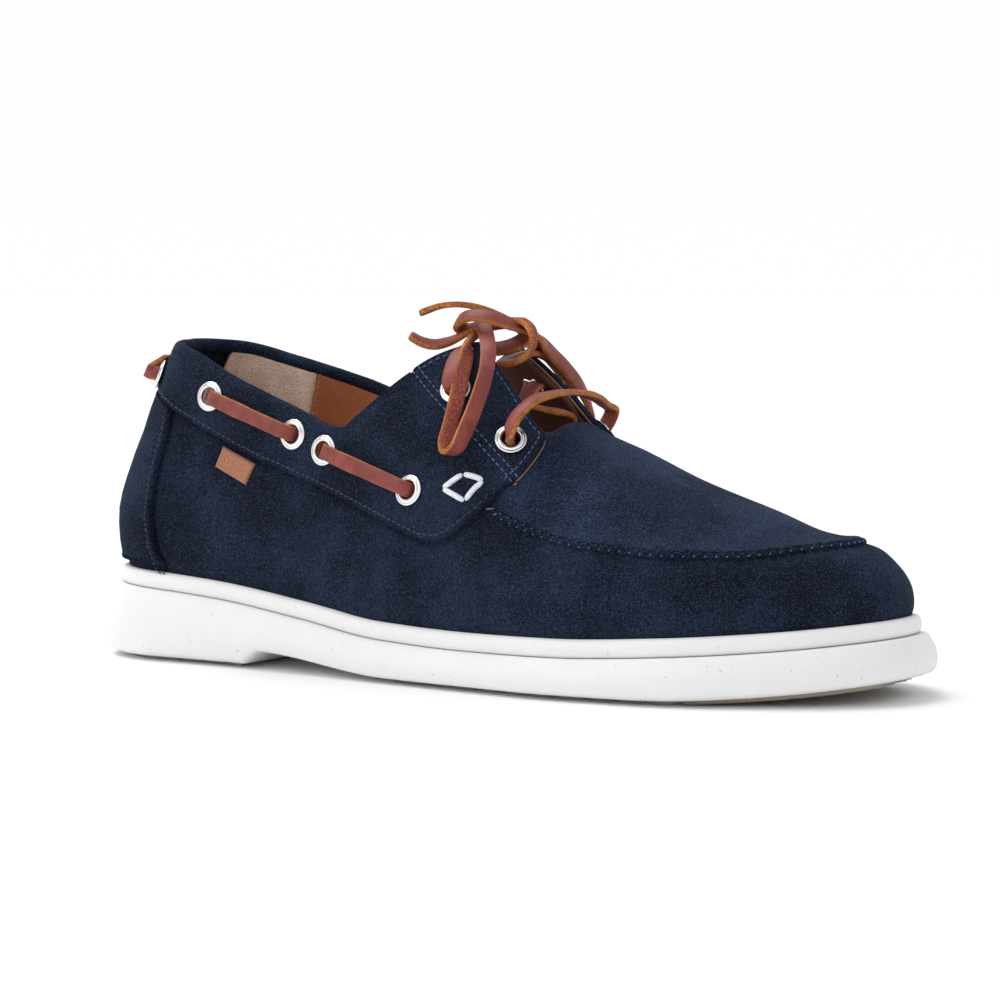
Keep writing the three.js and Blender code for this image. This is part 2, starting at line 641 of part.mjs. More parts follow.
const outer = form(0);
const inner = form(-WALL);
const proud = form(GAP);
const plugRows = [
  ...PLUG_SEAM.map((r) => skinAt(r.around * Math.PI / 180, r.up, 0.1)),
  ...PLUG_SEAM.slice(0, -1).reverse().map((r) => skinAt(2 * Math.PI - r.around * Math.PI / 180, r.up, 0.1)),
];
const plugSeam = tube(plugRows, PLUG_RADIUS, 6, 32);
const upper = cut(
  join(outer, plugSeam),
  inner, soleBlock(GAP), ...openTop, slot, rimRoom, ...holes,
);

const bandShape = (extra) => [
  ...BAND_EDGE.slice(0, -1), ...FLAP_SEAM.map((r) => ({ x: r.x - extra, z: r.z - extra })),
  { x: 124, z: 140 }, { x: -20, z: 140 },
];
const bandForm = cut(form(GAP + BAND), proud);
const band = cut(
  join(bandForm.intersect(sidePrism(bandShape(0.15), -90, 90)), rim),
  ...openTop.map((t) => cut(t, rimRoom)), slot, ...holes,
);
const flapForm = cut(form(GAP + FLAP), proud);
const flapShape = [...FLAP_SEAM.slice(0, -1).map((r) => ({ x: r.x + 0.15, z: r.z + 0.15 })).reverse(), ...FLAP_FRONT.slice(0, -1), { x: 136, z: 115 }];
const flaps = cut(flapForm.intersect(sidePrism(flapShape, -90, 90)), ...openTop, slot, ...holes);
const flapLateral = flaps.intersect(block(0, 300, -90, 0, 0, 200));
const flapMedial = flaps.intersect(block(0, 300, 0, 90, 0, 200));

const counterTop = BAND_EDGE.filter((r) => r.x < 45).map((r) => ({ x: r.x, z: r.z - 0.35 }));
const counter = cut(
  cut(form(GAP + COUNTER), proud).intersect(sidePrism([{ x: -20, z: 10 }, ...COUNTER_SEAM, { x: 37.6, z: 140 }, { x: -20, z: 140 }], -90, 90)),
  sidePrism([...counterTop, { x: 60, z: 150 }, { x: -20, z: 150 }], -90, 90),
  soleBlock(GAP),
);
const tab = cut(form(GAP + 1.0), proud).intersect(sidePrism(TAB.map((r, i) => (i < 2 ? { x: r.x, z: r.z - 0.4 } : r)), -90, 0));

const tongueDrop = (x) => -(WALL + GAP + 12 * smooth((186 - x) / 14) + 5 * smooth((172 - x) / 20));
const tongue = cut(form(tongueDrop), form((x) => tongueDrop(x) - TONGUE)).intersect(
  planPrism(bothSides(TONGUE_PLAN), 40, 170),
).intersect(sidePrism([...TONGUE_SIDES, { x: 210, z: 170 }, { x: 140, z: 170 }], -90, 90));
const insole = stack([
  { inset: UPPER_INSET + WALL + 0.6, z: (x) => ledge(x) + MIDSOLE + GAP },
  { inset: UPPER_INSET + WALL + 0.6, z: (x) => ledge(x) + MIDSOLE + GAP + INSOLE - 0.8 },
  { inset: UPPER_INSET + WALL + 1.6, z: (x) => ledge(x) + MIDSOLE + GAP + INSOLE },
]);

add('outsole', 'rubber', outsole);
add('midsole', 'rubber', midsole);
add('tread_heel', 'tread', heelPad);
add('tread_forefoot', 'tread', frontPad);
add('insole', 'lining', insole);
add('upper', 'suede', upper);
add('tongue', 'suede', tongue);
add('collar_band', 'suede', band);
add('eyestay_lateral', 'suede', flapLateral);
add('eyestay_medial', 'suede', flapMedial);
add('heel_counter', 'suede', counter);
add('tab', 'tab', tab);
for (const e of eyelets) add(e.name, 'metal', e.ring);

// laces that the collar holds: one bar for each pair of eyelets
const at = Object.fromEntries(eyelets.map((e) => [e.name.slice(7), e]));
/** Bar from one eyelet's hole, over the overlay, into another's. */
function bar(a, b, lift, between = []) {
  const along = b.p.clone().sub(a.p).normalize();
  const from = (e, out, step) => e.p.clone().addScaledVector(e.n, out).addScaledVector(along, step);
  return tube([
    from(a, -2.2, 0), from(a, 0.6, 0.2), from(a, lift - 0.4, 2.4), from(a, lift + 0.1, 5.2),
    ...between,
    from(b, lift + 0.1, -5.2), from(b, lift - 0.4, -2.4), from(b, 0.6, -0.2), from(b, -2.2, 0),
  ], LACE.radius, LACE.sides, BAR_STEPS);
}
for (const side of ['lateral', 'medial']) {
  add(`collar_lace_${side}_rear`, 'lace', bar(at[`${side}_rear`], at[`${side}_rear_front`], 3.6));
  add(`collar_lace_${side}_front`, 'lace', bar(at[`${side}_front_rear`], at[`${side}_front`], 3.6));
}
/** Point out from an eyelet's face, moved by (x, y, z). */
const via = (e, out, x = 0, y = 0, z = 0) => e.p.clone().addScaledVector(e.n, out).add(new THREE.Vector3(x, y, z));
const behind = [0.12, 0, -0.12].map((f) => skinAt((2 * Math.PI + f) % (2 * Math.PI), heightAt(f, () => 96.4), GAP + BAND + EYELET.lip + LACE.radius + 0.7));
add('collar_lace_heel', 'lace', tube([
  via(at.lateral_heel, -2.2), via(at.lateral_heel, 1.2), via(at.lateral_heel, 4.0, -0.6, 0.8, 0.4), ...behind,
  via(at.medial_heel, 4.0, -0.6, -0.8, 0.4), via(at.medial_heel, 1.2), via(at.medial_heel, -2.2),
], LACE.radius, LACE.sides, BAR_STEPS + 8));
const through = (e) => [via(e, -1.2), via(e, -5.6), via(e, -8.2)];
add('throat_lace', 'lace', join(
  tube([
    via(at.lateral_throat_lower, -2.4), via(at.lateral_throat_lower, 1.4), via(at.lateral_throat_lower, 3.9, 2.2, 0, 2.4),
    ...THROAT_LACE.bar,
    via(at.medial_throat_lower, 3.9, 2.2, 0, 2.4), via(at.medial_throat_lower, 1.4), via(at.medial_throat_lower, -2.4),
  ], LACE.radius, LACE.sides, 24),
  tube([
    ...through(at.lateral_throat_lower), ...THROAT_LACE.cross_upper, ...through(at.medial_throat_upper).reverse(),
  ], LACE.radius, LACE.sides, 11),
  tube([
    ...through(at.medial_throat_lower), ...THROAT_LACE.cross_lower, ...through(at.lateral_throat_upper).reverse(),
  ], LACE.radius, LACE.sides, 11),
));

// the bow: knot, strands up from the upper eyelets, loops and free ends
const { knot } = BOW;
const knotShape = (() => {
  const g = new THREE.SphereGeometry(1, 14, 9);
  g.scale(knot.rx, knot.ry, knot.rz);
  g.rotateZ(0.7);
  g.translate(knot.x, knot.y, knot.z);
  return solid(g);
})();
const knotRoom = (() => {
  const g = new THREE.SphereGeometry(1, 14, 9);
  g.scale(knot.rx + GAP, knot.ry + GAP, knot.rz + GAP);
  g.rotateZ(0.7);
  g.translate(knot.x, knot.y, knot.z);
  return solid(g);
})();
add('bow_knot', 'lace', knotShape);
for (const [name, steps] of [['strand_lateral', 9], ['strand_medial', 9], ['loop_lateral', 24], ['loop_medial', 24], ['end_upper', 6], ['end_lower', 6]]) {
  const eyelet = at[`${name.slice(7)}_throat_upper`];
  const root = name.startsWith('strand') ? [via(eyelet, -0.8), via(eyelet, 1.2)] : [];
  add(`bow_${name}`, 'lace', cut(tube([...root, ...BOW[name]], LACE.radius, LACE.sides, steps), knotRoom));
}

export default group;
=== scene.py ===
"""Visual model of a right boat shoe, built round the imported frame.

Sizes are millimetres in last coordinates: x from the back of the outsole,
y from the straight centre line, z from the underside of the white outsole.
Finished meshes are moved to the row frame, in metres.
"""

from __future__ import annotations

import logging
import math
from dataclasses import dataclass, field
from enum import Enum
from typing import Callable, Sequence

import bmesh
import bpy
import numpy as np
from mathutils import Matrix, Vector
from mathutils.geometry import delaunay_2d_cdt

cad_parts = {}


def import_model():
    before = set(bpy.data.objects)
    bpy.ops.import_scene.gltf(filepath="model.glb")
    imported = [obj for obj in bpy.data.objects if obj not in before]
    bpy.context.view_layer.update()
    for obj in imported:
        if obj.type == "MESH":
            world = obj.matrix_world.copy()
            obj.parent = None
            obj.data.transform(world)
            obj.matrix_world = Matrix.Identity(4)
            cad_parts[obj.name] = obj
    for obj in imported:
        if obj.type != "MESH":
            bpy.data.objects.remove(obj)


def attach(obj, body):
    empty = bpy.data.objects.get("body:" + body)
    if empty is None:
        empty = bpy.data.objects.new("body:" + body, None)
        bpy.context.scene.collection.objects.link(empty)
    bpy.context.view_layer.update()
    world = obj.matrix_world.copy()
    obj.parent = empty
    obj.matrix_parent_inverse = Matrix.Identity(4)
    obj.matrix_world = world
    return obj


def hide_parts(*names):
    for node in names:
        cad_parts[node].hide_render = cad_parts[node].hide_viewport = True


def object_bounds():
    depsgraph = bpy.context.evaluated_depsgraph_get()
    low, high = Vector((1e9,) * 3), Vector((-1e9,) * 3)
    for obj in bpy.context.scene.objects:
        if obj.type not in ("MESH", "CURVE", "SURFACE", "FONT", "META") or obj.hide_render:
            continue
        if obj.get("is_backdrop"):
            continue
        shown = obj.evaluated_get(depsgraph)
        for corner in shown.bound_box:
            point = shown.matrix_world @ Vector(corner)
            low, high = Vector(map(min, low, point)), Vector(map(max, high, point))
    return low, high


LOG = logging.getLogger("boat_shoe")
BODY = "root"
MM = 0.001
TAU = 2 * math.pi

Array = np.ndarray
Rows = Sequence[Sequence[float]]
Curve = Callable[[Array], Array]


class Side(Enum):
    """The two sides of the shoe, as the sign of y."""

    LATERAL = -1
    MEDIAL = 1

    @property
    def word(self) -> str:
        """The side's name as the CAD nodes write it."""
        return self.name.lower()


class Chart(Enum):
    """How an outline is laid out flat before it is filled."""

    WRAP = "wrap"
    PLAN = "plan"


# --------------------------------------------------------------- small maths
def clip(value: Array, low: float = 0.0, high: float = 1.0) -> Array:
    """Value held between low and high."""
    return np.clip(value, low, high)


def smooth(value: Array) -> Array:
    """Smooth step from 0 to 1."""
    v = np.clip(value, 0.0, 1.0)
    return v * v * (3 - 2 * v)


def unit(vectors: Array) -> Array:
    """Vectors scaled to length one."""
    length = np.linalg.norm(vectors, axis=-1, keepdims=True)
    return vectors / np.maximum(length, 1e-12)


def monotone(rows: Rows, column: int = 1) -> Curve:
    """Monotone cubic through a table.

    Args:
        rows: Table rows, the first column rising.
        column: The column that gives the value.

    Returns:
        A function of the first column, held level outside the table.
    """
    x = np.array([r[0] for r in rows], float)
    y = np.array([r[column] for r in rows], float)
    h, d = np.diff(x), np.diff(y) / np.diff(x)
    m = np.zeros(len(x))
    for i in range(1, len(x) - 1):
        if d[i - 1] * d[i] > 0:
            w0, w1 = 2 * h[i] + h[i - 1], h[i] + 2 * h[i - 1]
            m[i] = (w0 + w1) / (w0 / d[i - 1] + w1 / d[i])
    m[0], m[-1] = d[0], d[-1]

    def value(v: Array) -> Array:
        """The curve at v."""
        v = np.clip(v, x[0], x[-1])
        k = np.clip(np.searchsorted(x, v, side="right") - 1, 0, len(x) - 2)
        t = (v - x[k]) / h[k]
        s = 1 - t
        return (
            y[k] * (1 + 2 * t) * s * s
            + m[k] * h[k] * t * s * s
            + y[k + 1] * t * t * (3 - 2 * t)
            - m[k + 1] * h[k] * t * t * s
        )

    return value


def lengths(points: Array) -> Array:
    """Distance along a line of points, from 0 at its start."""
    return np.concatenate([[0.0], np.cumsum(np.linalg.norm(np.diff(points, axis=0), axis=1))])


def even(points: Array, step: float, other: Array | None = None) -> tuple[Array, Array]:
    """Points at even steps along a line.

    Args:
        points: The line, one row a point; steps are measured on it.
        step: Wanted distance between points.
        other: Rows that are read at the same places, or None for the line.

    Returns:
        The even points, and the other rows there.
    """
    s = lengths(points)
    count = max(2, int(round(s[-1] / step)) + 1)
    at = np.linspace(0, s[-1], count)
    rows = points if other is None else other
    take = lambda table: np.stack([np.interp(at, s, c) for c in table.T], -1)
    return take(points), take(rows)


def spline(rows: Array, steps: int = 14) -> Array:
    """Centripetal Catmull-Rom line through rows of any width.

    Args:
        rows: Control rows; the first three columns set the spacing.
        steps: Points for each span.

    Returns:
        The dense rows.
    """
    p = np.asarray(rows, float)
    p = np.vstack([2 * p[0] - p[1], p, 2 * p[-1] - p[-2]])
    knots = np.concatenate(
        [[0.0], np.cumsum(np.maximum(np.linalg.norm(np.diff(p[:, :3], axis=0), axis=1), 1e-4) ** 0.5)]
    )
    out = []
    for i in range(1, len(p) - 2):
        t0, t1, t2, t3 = knots[i - 1 : i + 3]
        t = np.linspace(t1, t2, steps, endpoint=False)[:, None]
        a1 = (t1 - t) / (t1 - t0) * p[i - 1] + (t - t0) / (t1 - t0) * p[i]
        a2 = (t2 - t) / (t2 - t1) * p[i] + (t - t1) / (t2 - t1) * p[i + 1]
        a3 = (t3 - t) / (t3 - t2) * p[i + 1] + (t - t2) / (t3 - t2) * p[i + 2]
        b1 = (t2 - t) / (t2 - t0) * a1 + (t - t0) / (t2 - t0) * a2
        b2 = (t3 - t) / (t3 - t1) * a2 + (t - t1) / (t3 - t1) * a3
        out.append((t2 - t) / (t2 - t1) * b1 + (t - t1) / (t2 - t1) * b2)
    return np.vstack([*out, p[-2:-1]])


# ------------------------------------------------------------------ the last
@dataclass
class Last:
    """The closed form that the upper is made on, and the outline of the sole."""

    length: float = 300.0
    tread: float = 1.6
    midsole: float = 5.8
    upper_inset: float = 7.6
    heel_round: float = 36.0
    toe_round: float = 78.0
    heel_power: float = 2.1
    toe_power: float = 2.2
    toe_shift: float = 5.0
    breast: float = 74.0
    arch: float = 4.5
    toe_spring: float = 6.3
    ridge_start: float = 70.0
    ridge_run: float = 172.0
    bulge: float = 1.85
    fullness: tuple[float, float, float] = (2.44, 2.25, 2.4)
    sole: Rows = (
        (0, 34.5, 35.0, 23.7), (25, 34.5, 35.5, 22.7), (60, 35.8, 36.0, 20.3),
        (95, 39.3, 35.5, 16.0), (130, 45.4, 37.0, 11.6), (165, 50.9, 42.5, 10.6),
        (200, 54.7, 49.5, 11.0), (235, 53.8, 52.5, 12.8), (265, 49.2, 51.5, 14.9),
        (300, 45.5, 49.5, 18.7),
    )
    ridge: Rows = (
        (40, 140), (70, 140), (110, 128), (135, 120), (150, 111), (165, 98),
        (181, 80.8), (200, 72.4), (220, 63.2), (240, 56.2), (262, 49.8), (292, 49.1),
    )
    lean: Rows = ((0, 0), (15, 0), (35, 3.7), (66, 8.5), (110, 11.5))
    origin: Array = field(init=False)

    def __post_init__(self) -> None:
        """Makes the curves, the row frame's origin and the search grids."""
        self.lateral = monotone(self.sole, 1)
        self.medial = monotone(self.sole, 2)
        self.ledge = monotone(self.sole, 3)
        self.ridge_z = monotone(self.ridge)
        self.lean_x = monotone(self.lean)
        y = self.outline(np.arange(720) * TAU / 720)[:, 1]
        self.origin = np.array([self.length / 2, (y.min() + y.max()) / 2, -self.tread])
        self._grid = {}
        for side in Side:
            phi, t = np.meshgrid(np.linspace(0.01, math.pi - 0.005, 240), np.linspace(0.004, 0.998, 110))
            phi = phi.ravel() if side is Side.LATERAL else TAU - phi.ravel()
            self._grid[side] = (phi, t.ravel(), self.skin(phi, t.ravel()))

    def centre(self, x: Array) -> Array:
        """Centre line, which swings to the medial side at the toe."""
        return self.toe_shift * smooth((x - 190) / 110)

    def underside(self, x: Array) -> Array:
        """Underside of the white outsole: flat heel, arch, forefoot, toe spring."""
        rise = clip((x - self.breast) / 6) * self.arch * (1 - smooth((x - self.breast - 4) / 58))
        return self.toe_spring * clip((x - 225) / 75) ** 2 + rise

    def outline(self, phi: Array, inset: float | Array = 0.0) -> Array:
        """Points (x, y) of the outsole's widest line, moved in by inset."""
        phi = np.asarray(phi, float)

        def raw(f: Array) -> Array:
            """The line itself."""
            x = self.length / 2 * (1 - np.cos(f))
            a, b = clip(1 - x / self.heel_round), clip(1 - (self.length - x) / self.toe_round)
            cap = (1 - a**self.heel_power) ** (1 / self.heel_power) * (
                1 - b**self.toe_power
            ) ** (1 / self.toe_power)
            lateral = np.mod(f, TAU) <= math.pi
            half = np.where(lateral, -self.lateral(x), self.medial(x))
            return np.stack([x, self.centre(x) + half * cap], -1)

        t = raw(phi + 1e-3) - raw(phi - 1e-3)
        n = unit(np.stack([-t[..., 1], t[..., 0]], -1))
        return raw(phi) + n * np.broadcast_to(inset, phi.shape)[..., None]

    def skin(self, phi: Array, t: Array) -> Array:
        """Points of the upper's outer face: phi round the shoe, t up from the feather line."""
        phi, t = np.broadcast_arrays(np.asarray(phi, float), np.asarray(t, float))
        foot = self.outline(phi, self.upper_inset)
        base = self.ledge(foot[..., 0]) + self.midsole
        c = np.cos(phi)
        xr = self.ridge_start + self.ridge_run * (1 - c) / 2
        top = np.stack([xr, 0.8 * self.centre(xr)], -1)
        toe, middle, heel = self.fullness
        power = middle + (toe - middle) * clip(-c) ** 2 + (heel - middle) * clip(c) ** 2
        angle = t * math.pi / 2
        across = 1 - np.maximum(np.cos(angle), 0) ** (2 / power)
        high = np.maximum(np.sin(angle), 0) ** (2 / power)
        plan = foot + (top - foot) * across[..., None]
        z = base + (self.ridge_z(plan[..., 0]) - base) * high
        out = self.bulge * np.sin(math.pi * clip((z - base) / 45))
        plan = plan + unit(foot - top) * out[..., None]
        plan[..., 0] += self.lean_x(z - base) * smooth((c + 0.25) / 1.25)
        return np.concatenate([plan, z[..., None]], -1)

    def normal(self, phi: Array, t: Array) -> Array:
        """Outward normals of the outer face."""
        phi, t = np.broadcast_arrays(np.asarray(phi, float), np.asarray(t, float))
        u, e = clip(t, 0.004, 0.985), 2e-3

        def at(f: Array) -> Array:
            """Normals from differences."""
            a = self.skin(f + e, u) - self.skin(f - e, u)
            b = self.skin(f, u + e) - self.skin(f, np.maximum(u - e, 0))
            return unit(np.cross(a, b))

        n = at(phi)
        both = unit(n + at(TAU - phi))
        return np.where((t >= 0.985)[..., None], both, n)

    def at(self, phi: Array, t: Array, offset: float | Array = 0.0) -> Array:
        """The skin moved out by offset; the foot of the form moves level."""
        phi, t = np.broadcast_arrays(np.asarray(phi, float), np.asarray(t, float))
        n = self.normal(phi, t)
        level = unit(n * [1, 1, 0])
        n = unit(level + (n - level) * smooth(t / 0.08)[..., None])
        return self.skin(phi, t) + n * np.broadcast_to(offset, phi.shape)[..., None]

    def seek(self, target: Array, axes: tuple[int, int], side: Side) -> tuple[Array, Array]:
        """The angles at which the skin is seen at given places.

        Args:
            target: Wanted coordinates, one row a point.
            axes: The two coordinates that the rows hold.
            side: Side of the shoe.

        Returns:
            phi and t, one of each a row.
        """
        target = np.asarray(target, float).reshape(-1, 2)
        phi_grid, t_grid, points = self._grid[side]
        flat = points[:, list(axes)]
        pick = np.concatenate(
            [
                np.argmin(((part[:, None, :] - flat[None]) ** 2).sum(-1), axis=1)
                for part in np.array_split(target, max(1, len(target) // 200))
            ]
        )
        phi, t, e = phi_grid[pick].copy(), t_grid[pick].copy(), 1e-4
        for _ in range(7):
            p = self.skin(phi, t)[:, list(axes)]
            a = (self.skin(phi + e, t)[:, list(axes)] - p) / e
            b = (p - self.skin(phi, t - e)[:, list(axes)]) / e
            det = a[:, 0] * b[:, 1] - a[:, 1] * b[:, 0]
            det = np.where(np.abs(det) < 1e-6, 1e-6, det)
            d = target - p
            phi += np.clip((d[:, 0] * b[:, 1] - d[:, 1] * b[:, 0]) / det, -0.05, 0.05)
            t = clip(t + np.clip((a[:, 0] * d[:, 1] - a[:, 1] * d[:, 0]) / det, -0.03, 0.03), 0.001, 0.9999)
        return phi, t

    def seen(self, rows: Rows, side: Side) -> Array:
        """Rows (phi, t) for places (x, z) seen from the side; phi runs below 0 on the medial side."""
        phi, t = self.seek(rows, (0, 2), side)
        return np.stack([np.where(phi > math.pi, phi - TAU, phi), t], -1)

    def height_at(self, phi: Array, height: Curve, lift: float | Curve = 0.0) -> Array:
        """t at which each column of the skin meets a height that depends on x."""
        low, high = np.full(phi.shape, 0.02), np.full(phi.shape, 0.93)
        for _ in range(30):
            mid = (low + high) / 2
            p = self.skin(phi, mid)
            up = lift(p[..., 0]) if callable(lift) else lift
            under = p[..., 2] < height(p[..., 0]) + up
            low, high = np.where(under, mid, low), np.where(under, high, mid)
        return low

    def surface(self, chart: Chart, uv: Array) -> tuple[Array, Array]:
        """phi and t of points on a flat chart."""
        if chart is Chart.WRAP:
            return uv[:, 0] / WRAP_SCALE, clip(uv[:, 1] / WRAP_SCALE, 0.0, 0.9999)
        phi, t = np.empty(len(uv)), np.empty(len(uv))
        left = uv[:, 1] < 0.8 * self.centre(uv[:, 0])
        for side, rows in ((Side.LATERAL, left), (Side.MEDIAL, ~left)):
            if rows.any():
                phi[rows], t[rows] = self.seek(uv[rows], (0, 1), side)
        return phi, t

    def to_frame(self, points: Array) -> Array:
        """Points in the row frame, in metres."""
        return (np.asarray(points, float) - self.origin) * MM


WRAP_SCALE = 95.0


# ------------------------------------------------------------- mesh building
def new_piece(
    last: Last,
    name: str,
    points: Array,
    faces: Sequence[Sequence[int]],
    material: bpy.types.Material,
    attributes: dict[str, Array] | None = None,
    closed: bool = True,
) -> bpy.types.Object:
    """One smooth mesh object with its place in its mesh.

    Args:
        last: The form, which knows the row frame.
        name: Piece name.
        points: Vertices in last coordinates.
        faces: Vertex numbers of each face.
        material: Its finish.
        attributes: Numbers stored for each vertex.
        closed: True for a closed shell, whose faces are turned outwards.

    Returns:
        The object, linked to the scene.
    """
    mesh = bpy.data.meshes.new(name)
    mesh.from_pydata(last.to_frame(points).tolist(), [], [list(map(int, f)) for f in faces])
    for key, values in (attributes or {}).items():
        layer = mesh.attributes.new(key, "FLOAT", "POINT")
        layer.data.foreach_set("value", np.asarray(values, np.float32).ravel())
    work = bmesh.new()
    work.from_mesh(mesh)
    bmesh.ops.remove_doubles(work, verts=work.verts, dist=2e-6)
    bmesh.ops.dissolve_degenerate(work, edges=work.edges, dist=1e-6)
    if closed:
        bmesh.ops.recalc_face_normals(work, faces=work.faces)
    for face in work.faces:
        face.smooth = True
    work.to_mesh(mesh)
    work.free()
    mesh.materials.append(material)
    piece = bpy.data.objects.new(name, mesh)
    bpy.context.scene.collection.objects.link(piece)
    return piece


def place(piece: bpy.types.Object, slot: str, *nodes: str) -> bpy.types.Object:
    """Rides a piece on the shoe and hides the CAD nodes it stands for."""
    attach(piece, BODY)
    if nodes:
        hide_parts(*nodes)
    LOG.info("piece %s: %d faces", piece.name, len(piece.data.polygons))
    return piece


def shell(outer: Array, inner: Array, wrap: bool) -> tuple[Array, list[list[int]]]:
    """Closed shell between two grids of points.

    Args:
        outer: Outer face, rows by columns by xyz.
        inner: Inner face, of the same shape.
        wrap: True where the last column meets the first.

    Returns:
        Points and faces.
    """
    rows, cols = outer.shape[:2]
    points = np.concatenate([outer.reshape(-1, 3), inner.reshape(-1, 3)])
    below = rows * cols
    span = cols if wrap else cols - 1
    faces: list[list[int]] = []
    at = lambda j, i: j * cols + i % cols
    for j in range(rows - 1):
        for i in range(span):
            a, b, c, d = at(j, i), at(j, i + 1), at(j + 1, i + 1), at(j + 1, i)
            faces.append([a, b, c, d])
            faces.append([below + d, below + c, below + b, below + a])
    for i in range(span):
        for j in (0, rows - 1):
            faces.append([at(j, i), at(j, i + 1), below + at(j, i + 1), below + at(j, i)])
    if not wrap:
        for j in range(rows - 1):
            for i in (0, cols - 1):
                faces.append([at(j, i), at(j + 1, i), below + at(j + 1, i), below + at(j, i)])
    return points, faces


def ring_stack(
    rings: Sequence[Array], cap: Callable[[int], list[list[int]]]
) -> tuple[Array, list[list[int]]]:
    """Closed stack of rings of equal length, capped at both ends.

    Args:
        rings: Rings of points, bottom to top.
        cap: Gives the faces that fill a ring of n points.

    Returns:
        Points and faces.
    """
    n = len(rings[0])
    faces = [
        [j * n + i, j * n + (i + 1) % n, (j + 1) * n + (i + 1) % n, (j + 1) * n + i]
        for j in range(len(rings) - 1)
        for i in range(n)
    ]
    faces += cap(n) + [[v + (len(rings) - 1) * n for v in f] for f in cap(n)]
    return np.concatenate(rings), faces


def ladder(n: int) -> list[list[int]]:
    """Faces between the two sides of a ring whose points mirror each other."""
    out = []
    for i in range(n // 2):
        a, b, c, d = i, i + 1, (n - i - 1) % n, (n - i) % n
        quad = [v for k, v in enumerate((a, b, c, d)) if v not in (a, b, c, d)[:k]]
        if len(quad) > 2:
            out.append(quad)
    return out


def fan(n: int) -> list[list[int]]:
    """One face that fills a small ring."""
    return [list(range(n))]


def frames(line: Array, facing: Array) -> tuple[Array, Array, Array]:
    """Tangents, facings square to them, and the directions across."""
    tangent = unit(np.gradient(line, axis=0))
    up = unit(facing - tangent * (facing * tangent).sum(-1, keepdims=True))
    return tangent, up, np.cross(tangent, up)


def sweep(line: Array, facing: Array, section: Array, scale: Array) -> tuple[Array, list[list[int]]]:
    """A section carried along a line.

    Args:
        line: Middle line, one row a point.
        facing: Direction of the section's second axis at each point.
        section: Rows (across, up) of the closed section.
        scale: Size of the section at each point.

    Returns:
        Points and faces, capped at both ends.
    """
    _, up, across = frames(line, facing)
    rings = [
        line[i] + (section[:, :1] * across[i] + section[:, 1:] * up[i]) * scale[i]
        for i in range(len(line))
    ]
    return ring_stack(rings, fan)


def round_section(sides: int) -> Array:
    """Circle of radius one."""
    a = np.arange(sides) * TAU / sides
    return np.stack([np.cos(a), np.sin(a)], -1)


